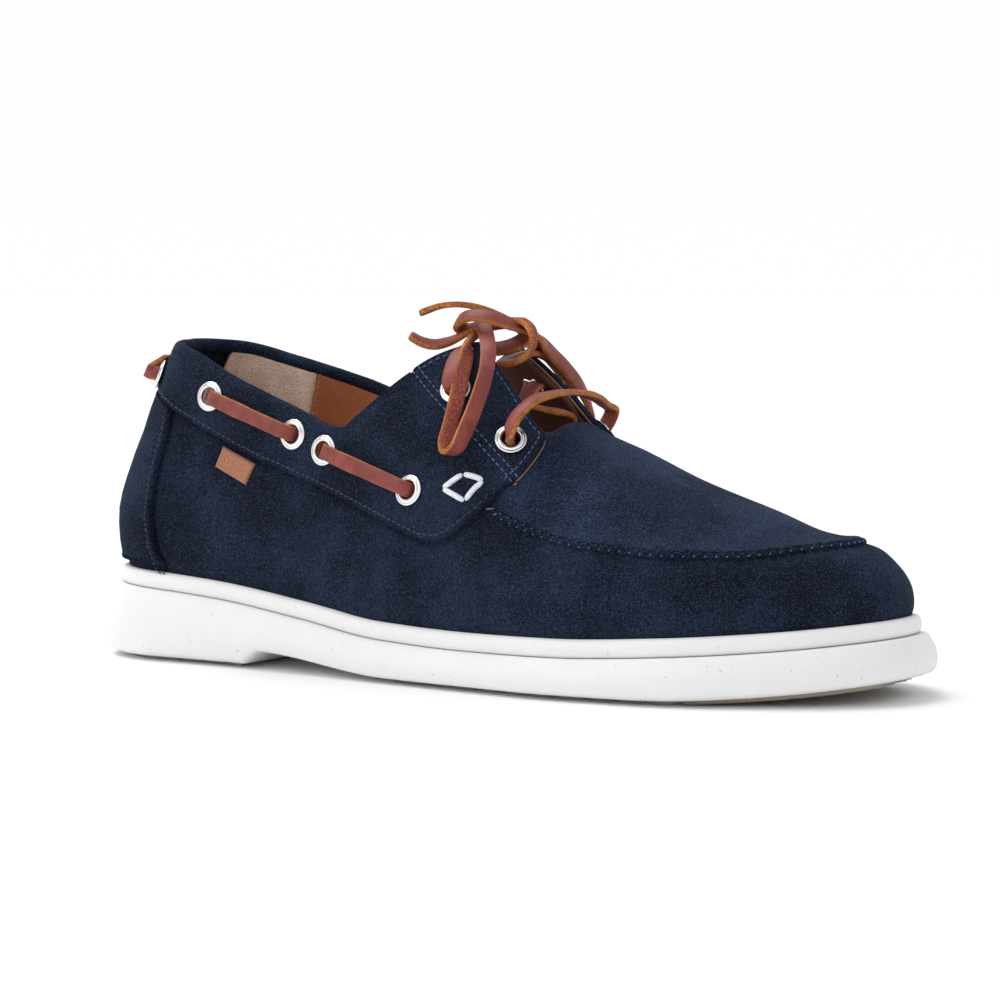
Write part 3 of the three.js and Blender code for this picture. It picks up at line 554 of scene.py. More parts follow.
# ----------------------------------------------------------------- the panels
@dataclass
class Panel:
    """A cut piece of leather laid on the last, thicker than its rounded edge.

    The outline is on a chart; low and high are its back and its face above
    the skin, and grooves are the distances of stitch rows from the edge.
    """

    last: Last
    chart: Chart
    outline: Array
    low: float
    high: float
    edge: float = 1.1
    grooves: tuple[float, ...] = ()
    groove_depth: float = 0.22
    pitch: float = 2.3
    step: float = 0.9
    relief: Callable[[Array, Array], Array] | None = None
    holes: Sequence[Array] = ()

    def _point(self, uv: Array) -> Array:
        """Skin points of chart places."""
        return self.last.skin(*self.last.surface(self.chart, uv))

    def _move(self, uv: Array, points: Array, shift: Array) -> Array:
        """Chart places moved by a 3-D shift along the skin."""
        e = 0.02
        a = (self._point(uv + [e, 0]) - points) / e
        b = (self._point(uv + [0, e]) - points) / e
        g11, g12, g22 = (a * a).sum(-1), (a * b).sum(-1), (b * b).sum(-1)
        r1, r2 = (a * shift).sum(-1), (b * shift).sum(-1)
        det = np.maximum(g11 * g22 - g12 * g12, 1e-9)
        return uv + np.stack([(g22 * r1 - g12 * r2) / det, (g11 * r2 - g12 * r1) / det], -1)

    def _border(self) -> tuple[Array, Array, Array]:
        """Even border on the chart, its skin points, and its inward directions."""
        loop = np.vstack([self.outline, self.outline[:1]])
        _, uv = even(self._point(loop), self.step, loop)
        uv = uv[:-1]
        points = self._point(uv)
        tangent = unit(np.roll(points, -1, 0) - np.roll(points, 1, 0))
        normal = self.last.normal(*self.last.surface(self.chart, uv))
        inward = unit(np.cross(normal, tangent))
        ahead = np.roll(uv, -1, 0) - np.roll(uv, 1, 0)
        area = (uv[:, 0] * np.roll(uv[:, 1], -1) - uv[:, 1] * np.roll(uv[:, 0], -1)).sum()
        inner = np.stack([-ahead[:, 1], ahead[:, 0]], -1) * np.sign(area)
        moved = self._move(uv, points, inward) - uv
        if (moved * inner).sum() < 0:
            inward = -inward
        return uv, points, inward

    def _inside(self, uv: Array, border: Array) -> Array:
        """True for chart places inside the border."""
        x, y = uv[:, :1], uv[:, 1:]
        x0, y0 = border[:, 0], border[:, 1]
        x1, y1 = np.roll(x0, -1), np.roll(y0, -1)
        rise = np.where(y1 == y0, 1e-12, y1 - y0)
        hit = ((y0 > y) != (y1 > y)) & (x < (x1 - x0) * (y - y0) / rise + x0)
        return hit.sum(1) % 2 == 1

    def rise(self, away: Array) -> Array:
        """Height of the face at a distance from the edge."""
        round_off = (1 - clip(1 - away / self.edge) ** 2.4) ** 0.5
        face = self.low + (self.high - self.low) * (0.42 + 0.58 * round_off)
        for groove in self.grooves:
            face = face - self.groove_depth * np.exp(-(((away - groove) / 0.55) ** 2))
        return face

    def build(self, name: str, material: bpy.types.Material) -> bpy.types.Object:
        """The panel as a closed mesh.

        Args:
            name: Piece name.
            material: Its finish.

        Returns:
            The object.
        """
        uv, points, inward = self._border()
        rings = [0.25 * self.edge, 0.6 * self.edge, self.edge]
        for groove in self.grooves:
            rings += [groove - 0.55, groove, groove + 0.55]
        rings = sorted({round(r, 2) for r in rings if r > 0.15})
        inner = [self._move(uv, points, inward * r) for r in rings]
        low, high = uv.min(0), uv.max(0)
        gx, gy = np.meshgrid(np.arange(low[0], high[0], self.pitch), np.arange(low[1], high[1], self.pitch))
        gx = gx + (np.arange(len(gx)) % 2)[:, None] * self.pitch / 2
        grid = np.stack([gx.ravel(), gy.ravel()], -1)
        keep = [uv]
        gap = lambda q, p: np.concatenate(
            [
                np.sqrt(((part[:, None] - p[None]) ** 2).sum(-1).min(1))
                for part in np.array_split(q, max(1, len(q) // 400))
            ]
        )
        for ring, distance in zip(inner, rings):
            ring = ring[self._inside(ring, uv)]
            away = gap(self._point(ring), points)
            keep.append(ring[away > distance * 0.93])
        grid = grid[self._inside(grid, uv)]
        if len(grid):
            away = gap(self._point(grid), points)
            keep.append(grid[away > (rings[-1] + 0.8)])
        for hole in self.holes:
            middle, reach = hole.mean(0), np.linalg.norm(hole - hole.mean(0), axis=1).max()
            keep[1:] = [part[np.linalg.norm(part - middle, axis=1) > reach * 1.12] for part in keep[1:]]
        edges, start = [], sum(len(part) for part in keep)
        for hole in self.holes:
            edges += [(start + i, start + (i + 1) % len(hole)) for i in range(len(hole))]
            start += len(hole)
            keep.append(hole)
        flat = np.concatenate(keep)
        count = len(uv)
        verts, _, faces, *_ = delaunay_2d_cdt(
            [Vector(p) for p in flat.tolist()], edges, [list(range(count))], 1, 1e-6
        )
        flat = np.array([tuple(v) for v in verts])
        middles = np.array([flat[list(f)].mean(0) for f in faces])
        punched = np.zeros(len(faces), bool)
        for hole in self.holes:
            punched |= self._inside(middles, hole)
        faces = [f for f, out_of in zip(faces, punched) if not out_of]
        phi, t = self.last.surface(self.chart, flat)
        base = self.last.skin(phi, t)
        away = gap(base, points)
        away[:count] = 0.0
        top = self.rise(away)
        if self.relief is not None:
            top = top + self.relief(base, away)
        face = self.last.at(phi, t, top)
        back = self.last.at(phi, t, np.full(len(flat), self.low))
        n = len(flat)
        out = [list(f) for f in faces] + [[v + n for v in reversed(f)] for f in faces]
        seen: dict[tuple[int, int], int] = {}
        for f in faces:
            for a, b in zip(f, [*f[1:], f[0]]):
                seen[(a, b)] = 1
        out += [[b, a, a + n, b + n] for a, b in seen if (b, a) not in seen]
        return new_piece(self.last, name, np.concatenate([face, back]), out, material)


# --------------------------------------------------------------- the finishes
class Wire:
    """A shader socket that takes part in arithmetic."""

    def __init__(self, board: Board, socket: bpy.types.NodeSocket) -> None:
        """Keeps the socket and the board it is on."""
        self.board, self.socket = board, socket

    def _math(self, operation: str, first: Wire | float, second: Wire | float) -> Wire:
        """A Math node on two values."""
        return self.board.node("ShaderNodeMath", {"operation": operation}, {0: first, 1: second})

    def __add__(self, other: Wire | float) -> Wire:
        """Sum."""
        return self._math("ADD", self, other)

    def __radd__(self, other: float) -> Wire:
        """Sum, value first."""
        return self._math("ADD", other, self)

    def __sub__(self, other: Wire | float) -> Wire:
        """Difference."""
        return self._math("SUBTRACT", self, other)

    def __rsub__(self, other: float) -> Wire:
        """Difference, value first."""
        return self._math("SUBTRACT", other, self)

    def __mul__(self, other: Wire | float) -> Wire:
        """Product."""
        return self._math("MULTIPLY", self, other)

    def __rmul__(self, other: float) -> Wire:
        """Product, value first."""
        return self._math("MULTIPLY", other, self)

    def __truediv__(self, other: Wire | float) -> Wire:
        """Quotient."""
        return self._math("DIVIDE", self, other)

    def __rtruediv__(self, other: float) -> Wire:
        """Quotient, value first."""
        return self._math("DIVIDE", other, self)

    def __pow__(self, other: float) -> Wire:
        """Power."""
        return self._math("POWER", self, other)


class Board:
    """The node board of one finish."""

    def __init__(self, name: str) -> None:
        """A new material with an empty board and its shader."""
        self.material = bpy.data.materials.new(name)
        self.material.use_nodes = True
        self.tree = self.material.node_tree
        self.tree.nodes.clear()
        self.place = self.node("ShaderNodeTexCoord", output="Object")

    def node(
        self,
        kind: str,
        settings: dict[str, object] | None = None,
        values: dict[str | int, object] | None = None,
        output: str | int = 0,
    ) -> Wire:
        """A node, its settings first, then its socket values or links.

        Args:
            kind: Node type.
            settings: Properties of the node; stops fills a ramp.
            values: Numbers or wires for its sockets.
            output: The socket to hand back.

        Returns:
            The output as a wire.
        """
        made = self.tree.nodes.new(kind)
        for key, value in (settings or {}).items():
            if key == "stops":
                ramp = made.color_ramp
                while len(ramp.elements) < len(value):
                    ramp.elements.new(0.5)
                for element, (position, colour) in zip(ramp.elements, value):
                    element.position, element.color = position, (*colour, 1.0)
            else:
                setattr(made, key, value)
        for key, value in (values or {}).items():
            if isinstance(value, Wire):
                self.tree.links.new(value.socket, made.inputs[key])
            else:
                made.inputs[key].default_value = value
        return Wire(self, made.outputs[output])

    def noise(
        self, scale: float, detail: float = 2.0, stretch: tuple[float, float, float] | None = None
    ) -> Wire:
        """Noise on the piece's own place, from 0 to 1."""
        place = self.place
        if stretch:
            place = self.node("ShaderNodeMapping", {}, {"Vector": place, "Scale": stretch})
        return self.node("ShaderNodeTexNoise", {}, {"Vector": place, "Scale": scale, "Detail": detail}, "Fac")

    def step(self, value: Wire, low: float, high: float) -> Wire:
        """Value spread from 0 at low to 1 at high."""
        return self.node(
            "ShaderNodeMapRange", {"interpolation_type": "SMOOTHSTEP"},
            {"Value": value, "From Min": low, "From Max": high},
        )

    def mix(self, factor: Wire | float, first: Wire | tuple, second: Wire | tuple) -> Wire:
        """Two colours mixed."""
        full = lambda c: c if isinstance(c, Wire) else (*c, 1.0)
        return self.node(
            "ShaderNodeMix", {"data_type": "RGBA"}, {0: factor, 6: full(first), 7: full(second)}, 2
        )

    def number(self, name: str) -> Wire:
        """A number stored on the piece's vertices."""
        return self.node("ShaderNodeAttribute", {"attribute_name": name}, output="Fac")

    def bump(self, height: Wire, strength: float, depth: float) -> Wire:
        """A normal from a height in units of depth metres."""
        return self.node(
            "ShaderNodeBump", {}, {"Height": height, "Strength": strength, "Distance": depth}
        )

    def finish(self, **values: object) -> bpy.types.Material:
        """Ends the board in one shader with the given sockets, and hands back the material."""
        named = {key.replace("_", " ").title().replace("Ior", "IOR"): v for key, v in values.items()}
        shader = self.node("ShaderNodeBsdfPrincipled", {}, named, "BSDF")
        self.node_out = self.tree.nodes.new("ShaderNodeOutputMaterial")
        self.tree.links.new(shader.socket, self.node_out.inputs["Surface"])
        return self.material


Colour = tuple[float, float, float]


def paint(red: int, green: int, blue: int) -> Colour:
    """A display colour of 0 to 255 as linear light."""
    def linear(v: float) -> float:
        """One channel."""
        v /= 255
        return v / 12.92 if v <= 0.04045 else ((v + 0.055) / 1.055) ** 2.4
    return (linear(red), linear(green), linear(blue))


@dataclass(frozen=True)
class Suede:
    """Napped leather: brushed patches, fine fibres and a soft sheen."""

    name: str
    dark: Colour
    light: Colour
    fleck: Colour
    sheen: Colour
    sheen_weight: float = 0.25
    patch: float = 34.0

    def make(self) -> bpy.types.Material:
        """The finish as a material."""
        b = Board(self.name)
        patch = b.noise(self.patch, 3.0)
        brush = b.noise(1.0, 4.0, (120.0, 210.0, 330.0))
        nap = b.noise(1250.0, 4.0)
        fibre = b.noise(2500.0, 2.0)
        tone = b.step(patch * 0.8 + brush * 0.2 + nap * 0.24, 0.50, 0.76)
        colour = b.mix(tone, self.dark, self.light)
        colour = b.mix(b.step(fibre, 0.52, 0.66) * 0.55, colour, self.fleck)
        colour = b.mix(b.step(nap, 0.5, 0.34) * 0.75, colour, self.dark)
        normal = b.bump(nap * 0.6 + fibre * 0.4, 1.0, 0.0011)
        return b.finish(
            base_color=colour, roughness=0.95 - 0.1 * tone, normal=normal,
            sheen_weight=self.sheen_weight, sheen_roughness=0.45, sheen_tint=(*self.sheen, 1.0),
            specular_ior_level=0.08,
        )


@dataclass(frozen=True)
class Rubber:
    """Moulded rubber with tiny specks."""

    name: str
    body: Colour
    shade: Colour
    speck: Colour
    rough: float = 0.5

    def make(self) -> bpy.types.Material:
        """The finish as a material."""
        b = Board(self.name)
        cloud = b.noise(60.0, 3.0)
        grain = b.noise(1400.0, 2.0)
        dots = b.step(b.noise(900.0, 0.0), 0.80, 0.84)
        colour = b.mix(cloud, self.shade, self.body)
        colour = b.mix(dots * 0.35, colour, self.speck)
        return b.finish(
            base_color=colour, roughness=self.rough + 0.12 * grain,
            normal=b.bump(grain + cloud * 0.8, 0.12, 0.0004), specular_ior_level=0.4,
        )


@dataclass(frozen=True)
class LaceLeather:
    """Cut leather lace: smooth grain on one face, raw fibres on the others."""

    name: str
    grain: Colour
    grain_dark: Colour
    flesh: Colour
    flesh_dark: Colour
    back: Colour

    def make(self) -> bpy.types.Material:
        """The finish as a material."""
        b = Board(self.name)
        face, back = b.number("grain"), b.number("back")
        cloud = b.noise(160.0, 3.0)
        pores = b.noise(1500.0, 3.0)
        fibre = b.noise(2200.0, 3.0)
        top = b.mix(b.step(cloud * 0.7 + pores * 0.4, 0.4, 0.75), self.grain_dark, self.grain)
        raw = b.mix(b.step(fibre * 0.75 + cloud * 0.3, 0.4, 0.62), self.flesh_dark, self.flesh)
        raw = b.mix(back * 0.95, raw, b.mix(b.step(pores, 0.35, 0.65), self.grain_dark, self.back))
        rough = b.mix(fibre, (0, 0, 0), (1, 1, 1))
        polished = b.mix(pores, (0.4, 0.4, 0.4), (0.62, 0.62, 0.62))
        height = b.mix(face, rough, polished)
        return b.finish(
            base_color=b.mix(face, raw, top), roughness=0.86 - 0.42 * face + 0.1 * pores,
            normal=b.bump(height, 0.55, 0.0005), specular_ior_level=0.38,
        )


@dataclass(frozen=True)
class Leather:
    """Smooth lining leather with pores and soft stains."""

    name: str
    light: Colour
    dark: Colour
    rough: float = 0.6

    def make(self) -> bpy.types.Material:
        """The finish as a material."""
        b = Board(self.name)
        cloud = b.noise(45.0, 4.0)
        pores = b.node("ShaderNodeTexVoronoi", {}, {"Vector": b.place, "Scale": 900.0}, "Distance")
        fine = b.noise(1300.0, 2.0)
        tone = b.step(cloud * 0.8 + fine * 0.2, 0.32, 0.68)
        return b.finish(
            base_color=b.mix(tone, self.dark, self.light), roughness=self.rough + 0.15 * fine,
            normal=b.bump(pores * 0.6 + fine * 0.5, 0.35, 0.0005), specular_ior_level=0.35,
        )


@dataclass(frozen=True)
class Nickel:
    """Polished plated metal with faint rubbing marks."""

    name: str
    body: Colour
    tarnish: Colour

    def make(self) -> bpy.types.Material:
        """The finish as a material."""
        b = Board(self.name)
        cloud, rub = b.noise(300.0, 3.0), b.noise(2600.0, 2.0, (1.0, 1.0, 0.25))
        return b.finish(
            base_color=b.mix(b.step(cloud, 0.4, 0.75) * 0.5, self.body, self.tarnish), metallic=1.0,
            roughness=0.14 + 0.16 * cloud, normal=b.bump(rub, 0.06, 0.0003),
        )


@dataclass(frozen=True)
class Thread:
    """Twisted sewing thread."""

    name: str
    light: Colour
    dark: Colour

    def make(self) -> bpy.types.Material:
        """The finish as a material."""
        b = Board(self.name)
        twist = b.noise(2400.0, 2.0)
        return b.finish(
            base_color=b.mix(b.step(twist, 0.3, 0.7), self.dark, self.light), roughness=0.7,
            normal=b.bump(twist, 0.4, 0.0003), sheen_weight=0.2,
        )


@dataclass(frozen=True)
class Plain:
    """Pale matt studio floor."""

    name: str
    body: Colour

    def make(self) -> bpy.types.Material:
        """The finish as a material."""
        b = Board(self.name)
        return b.finish(base_color=(*self.body, 1.0), roughness=0.6)


class Wardrobe:
    """Every finish of the shoe, made once."""

    def __init__(self) -> None:
        """Makes the materials."""
        navy = paint(112, 132, 176)
        self.suede = Suede(
            "suede_navy", paint(13, 17, 26), paint(33, 41, 59), paint(68, 82, 110), navy, 0.1
        ).make()
        # The plug's suede is a lighter copy of the side suede: partly the plug's own nap, partly painted
        # light from above on the top panel.
        self.suede_plug = Suede(
            "suede_navy_plug", paint(19, 24, 37), paint(40, 50, 72), paint(80, 95, 126), navy, 0.13
        ).make()
        self.lining_suede = Suede(
            "suede_tan", paint(228, 192, 170), paint(250, 226, 206), paint(254, 238, 222),
            paint(236, 208, 184), 0.2, 90.0,
        ).make()
        self.rubber = Rubber(
            "rubber_white", paint(238, 236, 234), paint(230, 228, 226), paint(150, 146, 142)
        ).make()
        # The tread rubber is set darker than its own pinkish beige: painted shade under the sole.
        self.tread = Rubber(
            "rubber_beige", paint(176, 164, 150), paint(150, 138, 124), paint(120, 108, 96), 0.7
        ).make()
        self.lining = Leather("leather_tan", paint(182, 110, 68), paint(150, 84, 48)).make()
        # A darker copy of the tan lining leather: painted shade inside the front of the shoe.
        self.flap_lining = Leather("leather_brown", paint(92, 56, 44), paint(60, 36, 29)).make()
        self.edge = Leather("leather_edge", paint(186, 140, 98), paint(146, 102, 66), 0.75).make()
        self.sock = Leather("leather_insole", paint(196, 140, 98), paint(164, 108, 72)).make()
        self.lace = LaceLeather(
            "leather_lace", paint(146, 68, 58), paint(116, 50, 42), paint(200, 128, 66), paint(126, 68, 32),
            paint(156, 82, 68),
        ).make()
        self.metal = Nickel("nickel", (0.86, 0.86, 0.85), (0.62, 0.61, 0.59)).make()
        self.blue = Thread("thread_blue", paint(84, 110, 156), paint(40, 58, 94)).make()
        self.navy = Thread("thread_navy", paint(40, 52, 80), paint(20, 26, 42)).make()
        self.white = Thread("thread_white", paint(246, 246, 248), paint(206, 210, 220)).make()
        self.tan = Thread("thread_tan", paint(206, 146, 100), paint(158, 104, 66)).make()
        self.tab = Thread("woven_tan", paint(182, 122, 88), paint(134, 84, 56)).make()
        self.floor = Plain("studio_floor", paint(250, 250, 250)).make()


# --------------------------------------------------------------- the stitches
class StitchTree:
    """Geometry nodes that lay thread segments along a seam line."""

    def __init__(self) -> None:
        """Builds the tree with its named inputs."""
        self.tree = bpy.data.node_groups.new("stitch_run", "GeometryNodeTree")
        face = self.tree.interface
        self.keys: dict[str, str] = {}
        face.new_socket("Geometry", in_out="INPUT", socket_type="NodeSocketGeometry")
        for name, kind in (
            ("Pitch", "Float"), ("Length", "Float"), ("Width", "Float"), ("Height", "Float"),
            ("Slant", "Float"), ("Seed", "Int"), ("Material", "Material"),
        ):
            socket = face.new_socket(name, in_out="INPUT", socket_type=f"NodeSocket{kind}")
            self.keys[name] = socket.identifier
        face.new_socket("Geometry", in_out="OUTPUT", socket_type="NodeSocketGeometry")
        self._build()

    def _node(self, kind: str, settings: dict[str, object], links: dict[str | int, object]) -> bpy.types.Node:
        """A node, its settings first, then its socket values or links."""
        made = self.tree.nodes.new(kind)
        for key, value in settings.items():
            setattr(made, key, value)
        for key, value in links.items():
            if isinstance(value, bpy.types.NodeSocket):
                self.tree.links.new(value, made.inputs[key])
            else:
                made.inputs[key].default_value = value
        return made

    def _build(self) -> None:
        """Seam line to points, a thread segment on each, realized and dressed."""
        given = self.tree.nodes.new("NodeGroupInput").outputs
        line = self._node("GeometryNodeMeshToCurve", {}, {"Mesh": given["Geometry"]})
        points = self._node(
            "GeometryNodeCurveToPoints", {"mode": "LENGTH"},
            {"Curve": line.outputs[0], "Length": given["Pitch"]},
        )
        up = self._node("GeometryNodeInputNamedAttribute", {"data_type": "FLOAT_VECTOR"}, {"Name": "up"})
        turn = self._node(
            "FunctionNodeAlignRotationToVector", {"axis": "X"}, {"Vector": points.outputs["Tangent"]}
        )
        turn = self._node(
            "FunctionNodeAlignRotationToVector", {"axis": "Z", "pivot_axis": "X"},
            {"Rotation": turn.outputs[0], "Vector": up.outputs["Attribute"]},
        )
        wander = self._node(
            "FunctionNodeRandomValue", {"data_type": "FLOAT"},
            {2: -0.09, 3: 0.09, "Seed": given["Seed"]},
        )
        slant = self._node("ShaderNodeMath", {"operation": "ADD"}, {0: given["Slant"], 1: wander.outputs[1]})
        euler = self._node("ShaderNodeCombineXYZ", {}, {"Z": slant.outputs[0]})
        spin = self._node("FunctionNodeEulerToRotation", {}, {0: euler.outputs[0]})
        turn = self._node(
            "FunctionNodeRotateRotation", {"rotation_space": "LOCAL"},
            {"Rotation": turn.outputs[0], "Rotate By": spin.outputs[0]},
        )
        bead = self._node("GeometryNodeMeshUVSphere", {}, {"Segments": 8, "Rings": 5, "Radius": 0.5})
        size = self._node(
            "ShaderNodeCombineXYZ", {}, {"X": given["Length"], "Y": given["Width"], "Z": given["Height"]}
        )
        laid = self._node(
            "GeometryNodeInstanceOnPoints", {},
            {
                "Points": points.outputs["Points"], "Instance": bead.outputs["Mesh"],
                "Rotation": turn.outputs[0], "Scale": size.outputs[0],
            },
        )
        real = self._node("GeometryNodeRealizeInstances", {}, {"Geometry": laid.outputs[0]})
        flat = self._node("GeometryNodeSetShadeSmooth", {}, {"Geometry": real.outputs[0]})
        dress = self._node(
            "GeometryNodeSetMaterial", {}, {"Geometry": flat.outputs[0], "Material": given["Material"]}
        )
        out = self.tree.nodes.new("NodeGroupOutput")
        self.tree.links.new(dress.outputs[0], out.inputs["Geometry"])

    def run(
        self, last: Last, name: str, lines: Sequence[tuple[Array, Array]], material: bpy.types.Material,
        pitch: float, length: float, width: float, height: float, slant: float = 0.0,
    ) -> bpy.types.Object:
        """Stitches along seam lines, as one plain mesh.

        Args:
            last: The form, which knows the row frame.
            name: Piece name.
            lines: Points of each line and the directions out of the leather.
            material: The thread.
            pitch: Distance from stitch to stitch.
            length: Length of a stitch.
            width: Width of the thread.
            height: Height of the thread.
            slant: Turn of each stitch on the leather.

        Returns:
            The object.
        """
        points, ups, edges, start = [], [], [], 0
        for line, up in lines:
            points.append(last.to_frame(line))
            ups.append(up)
            edges += [(start + i, start + i + 1) for i in range(len(line) - 1)]
            start += len(line)
        mesh = bpy.data.meshes.new(name + "_line")
        mesh.from_pydata(np.concatenate(points).tolist(), edges, [])
        layer = mesh.attributes.new("up", "FLOAT_VECTOR", "POINT")
        layer.data.foreach_set("vector", np.concatenate(ups).astype(np.float32).ravel())
        seam = bpy.data.objects.new(name + "_line", mesh)
        bpy.context.scene.collection.objects.link(seam)
        made = seam.modifiers.new("stitches", "NODES")
        made.node_group = self.tree
        for key, value in (
            ("Pitch", pitch * MM), ("Length", length * MM), ("Width", width * MM),
            ("Height", height * MM), ("Slant", slant), ("Seed", 11), ("Material", material),
        ):
            made[self.keys[key]] = value
        graph = bpy.context.evaluated_depsgraph_get()
        done = bpy.data.meshes.new_from_object(seam.evaluated_get(graph))
        done.name = name
        bpy.data.objects.remove(seam)
        piece = bpy.data.objects.new(name, done)
        bpy.context.scene.collection.objects.link(piece)
        return piece


# -------------------------------------------------------------- pattern tables
TOPLINE = {
    Side.LATERAL: (
        (-20, 106.5), (24, 106.2), (33, 105.0), (44, 102.6), (63.5, 93.9), (90, 84.5),
        (106, 79.2), (111, 78.9), (116, 82.0), (124, 88.2), (134, 95.6), (143, 101.6),
        (150, 104.4), (160, 106.5), (200, 112),
    ),
    Side.MEDIAL: (
        (-20, 106.5), (24, 106.2), (36, 105.1), (51, 101.1), (71, 96.1), (92, 90.0),
        (106, 84.2), (111, 83.4), (116, 85.2), (124, 89.6), (134, 96.0), (143, 101.8),
        (150, 104.4), (160, 106.5), (200, 112),
    ),
}
BAND_EDGE = (
    (-20, 89.5), (24, 88.6), (28, 87.3), (38.6, 82.6), (55.5, 75.3), (66, 71.1), (76.7, 67),
    (87.2, 64.0), (108.9, 57.3), (131.3, 50.0), (144, 45.9), (149, 44.7), (153.8, 44.6),
    (159, 46.2), (165, 50.3), (170, 54.4), (174, 58.6), (176.6, 62.2),
)
FLAP_SEAM = (
    (176.6, 62.2), (173.5, 65), (162.4, 74.6), (150.4, 83.4), (143.9, 88.4), (136.2, 94.9),
)
FLAP_FRONT = (
    (177.6, 62.4), (179.7, 64.6), (181.2, 67.6), (182.0, 71.0), (182.0, 74.0), (181.0, 76.8),
)
THROAT = (
    (90, 15), (152, 15.5), (160, 16.6), (168, 18.2), (173, 19.8), (177, 20.4), (179.6, 19.0),
    (180.6, 15.5),
)
THROAT_FRONT = 180.6
COUNTER_SEAM = ((38.5, 20), (36.5, 28), (32.8, 37), (31.4, 47.4), (32.8, 59.7), (36.4, 74.6), (37.2, 81.5))
TAB = ((60.8, 71.0), (74.6, 65.6), (71.4, 58.6), (58.1, 64.2))
PLUG_SEAM = (
    (98.6, 0.338), (102.6, 0.345), (106.7, 0.337), (111.0, 0.334), (118.2, 0.362), (125.8, 0.388),
    (135.6, 0.442), (147, 0.530), (158, 0.580), (169, 0.602), (180, 0.608),
)
PLUG_REAR = 98.6
CONTRAST = ((155.3, 60.2), (162, 65), (169.2, 63.1), (164.4, 56.6))
EYELETS = (
    ("heel", 28.4, 93.2, 0.8), ("rear", 55.4, 87.2, 0.55), ("rear_front", 91.5, 75.6, 0.55),
    ("front_rear", 104.9, 70.8, 0.55), ("front", 142.4, 59.2, 0.55),
    ("throat_upper", 152.7, 90.7, 0.55), ("throat_lower", 173.2, 74.8, 1.2),
)


def soften(line: Array, step: float, passes: int) -> Array:
    """An outline with its corners rounded off and its two ends kept.

    Args:
        line: Points of the outline.
        step: Distance between the new points.
        passes: How many times the points are averaged with their neighbours.
    """
    out = even(line, step)[0]
    for _ in range(passes):
        out[1:-1] = (out[:-2] + 2 * out[1:-1] + out[2:]) / 4
    return out


# ------------------------------------------------------------------- the sole
@dataclass
class Sole:
    """Two white tiers on beige tread pads."""

    last: Last
    wardrobe: Wardrobe
    outsole_wall: Rows = (
        (0, 3.0), (0.03, 1.5), (0.08, 0.7), (0.18, 0.2), (0.32, 0), (0.48, 0.1), (0.66, 0.8),
        (0.82, 1.9), (0.93, 2.6), (0.965, 2.95), (0.99, 3.5), (1, 4.6), (1, 7.0),
    )
    midsole_wall: Rows = (
        (0, 7.4), (0, 6.2), (0.05, 5.6), (0.14, 5.15), (0.35, 4.9), (0.65, 5.0), (0.82, 5.35),
        (0.93, 5.95), (1, 6.9), (1, 8.4),
    )
    sock_wall: Rows = (
        (10.2, 6.1), (10.1, 8.0), (10.4, 8.7), (11.0, 9.1), (12.0, 9.2), (13.0, 8.95), (14.2, 8.8),
        (20.0, 8.7),
    )
    columns: int = 640

    def _angles(self) -> Array:
        """Angles round the sole, with extra ones at the heel breast."""
        half = np.linspace(0, math.pi, self.columns // 2 + 1)
        extra = np.arccos(1 - 2 * np.array([73.4, 74.0, 80.0, 80.6]) / self.last.length)
        half = np.unique(np.concatenate([half, extra]))
        return np.concatenate([half, TAU - half[1:-1][::-1]])

    def _tier(self, wall: Rows, low: Curve, high: Curve, name: str) -> bpy.types.Object:
        """One tier between two height curves."""
        phi, rings = self._angles(), []
        for up, inset in wall:
            xy = self.last.outline(phi, inset)
            z = low(xy[:, 0]) + (high(xy[:, 0]) - low(xy[:, 0])) * up
            rings.append(np.column_stack([xy, z]))
        points, faces = ring_stack(rings, ladder)
        return new_piece(self.last, name, points, faces, self.wardrobe.rubber)

    def _pad(self, name: str, start: float, end: float, notches: Array) -> bpy.types.Object:
        """A tread pad with zigzag grooves and notched edges."""
        line = self.last.outline(np.linspace(0.02, math.pi - 0.02, 900), 8.0)
        other = self.last.outline(TAU - np.linspace(0.02, math.pi - 0.02, 900), 8.0)
        x = np.arange(start, end, 0.9)
        low = np.interp(x, line[:, 0], line[:, 1])
        high = np.interp(x, other[:, 0], other[:, 1])
        bite = 2.0 * smooth((1.5 - np.abs(x[:, None] - notches).min(1)) / 0.8)
        low, high = low + bite, high - bite
        v = np.linspace(0, 1, 84)
        y = low[:, None] + (high - low)[:, None] * v
        xx = np.repeat(x[:, None], len(v), 1)
        zigzag = np.abs(np.mod(y / 9.0, 1.0) - 0.5) * 5.2
        lane = np.abs(np.mod((xx + zigzag) / 6.4, 1.0) - 0.5) * 6.4
        inner = clip((y - low[:, None]) / 3.0) * clip((high[:, None] - y) / 3.0)
        groove = smooth((1.05 - lane) / 0.7) * 0.95 * smooth(inner * 1.5)
        base = self.last.underside(xx)
        bottom = np.stack([xx, y, base - self.last.tread + groove], -1)
        top = np.stack([xx, y, base + 0.1], -1)
        points, faces = shell(top, bottom, False)
        return new_piece(self.last, name, points, faces, self.wardrobe.tread)

    def build(self) -> None:
        """Makes the tiers, the pads and the insole."""
        last = self.last
        tier = self._tier(self.outsole_wall, last.underside, last.ledge, "sole_outsole")
        place(tier, "sole_rubber", "outsole")
        band = self._tier(
            self.midsole_wall, lambda x: last.ledge(x) + 0.12,
            lambda x: last.ledge(x) + last.midsole, "sole_midsole",
        )
        place(band, "sole_rubber", "midsole")
        place(self._pad("sole_tread_heel", 7.4, 69.4, np.arange(42.0, 63, 10)), "tread_rubber", "tread_heel")
        forefoot = self._pad("sole_tread_forefoot", 136.6, 290.4, np.arange(150.0, 241, 10))
        place(forefoot, "tread_rubber", "tread_forefoot")
        phi, rings = self._angles(), []
        for inset, up in self.sock_wall:
            xy = last.outline(phi, inset)
            rings.append(np.column_stack([xy, last.ledge(xy[:, 0]) + up]))
        points, faces = ring_stack(rings, ladder)
        place(new_piece(last, "insole_sock", points, faces, self.wardrobe.sock), "lining_leather", "insole")


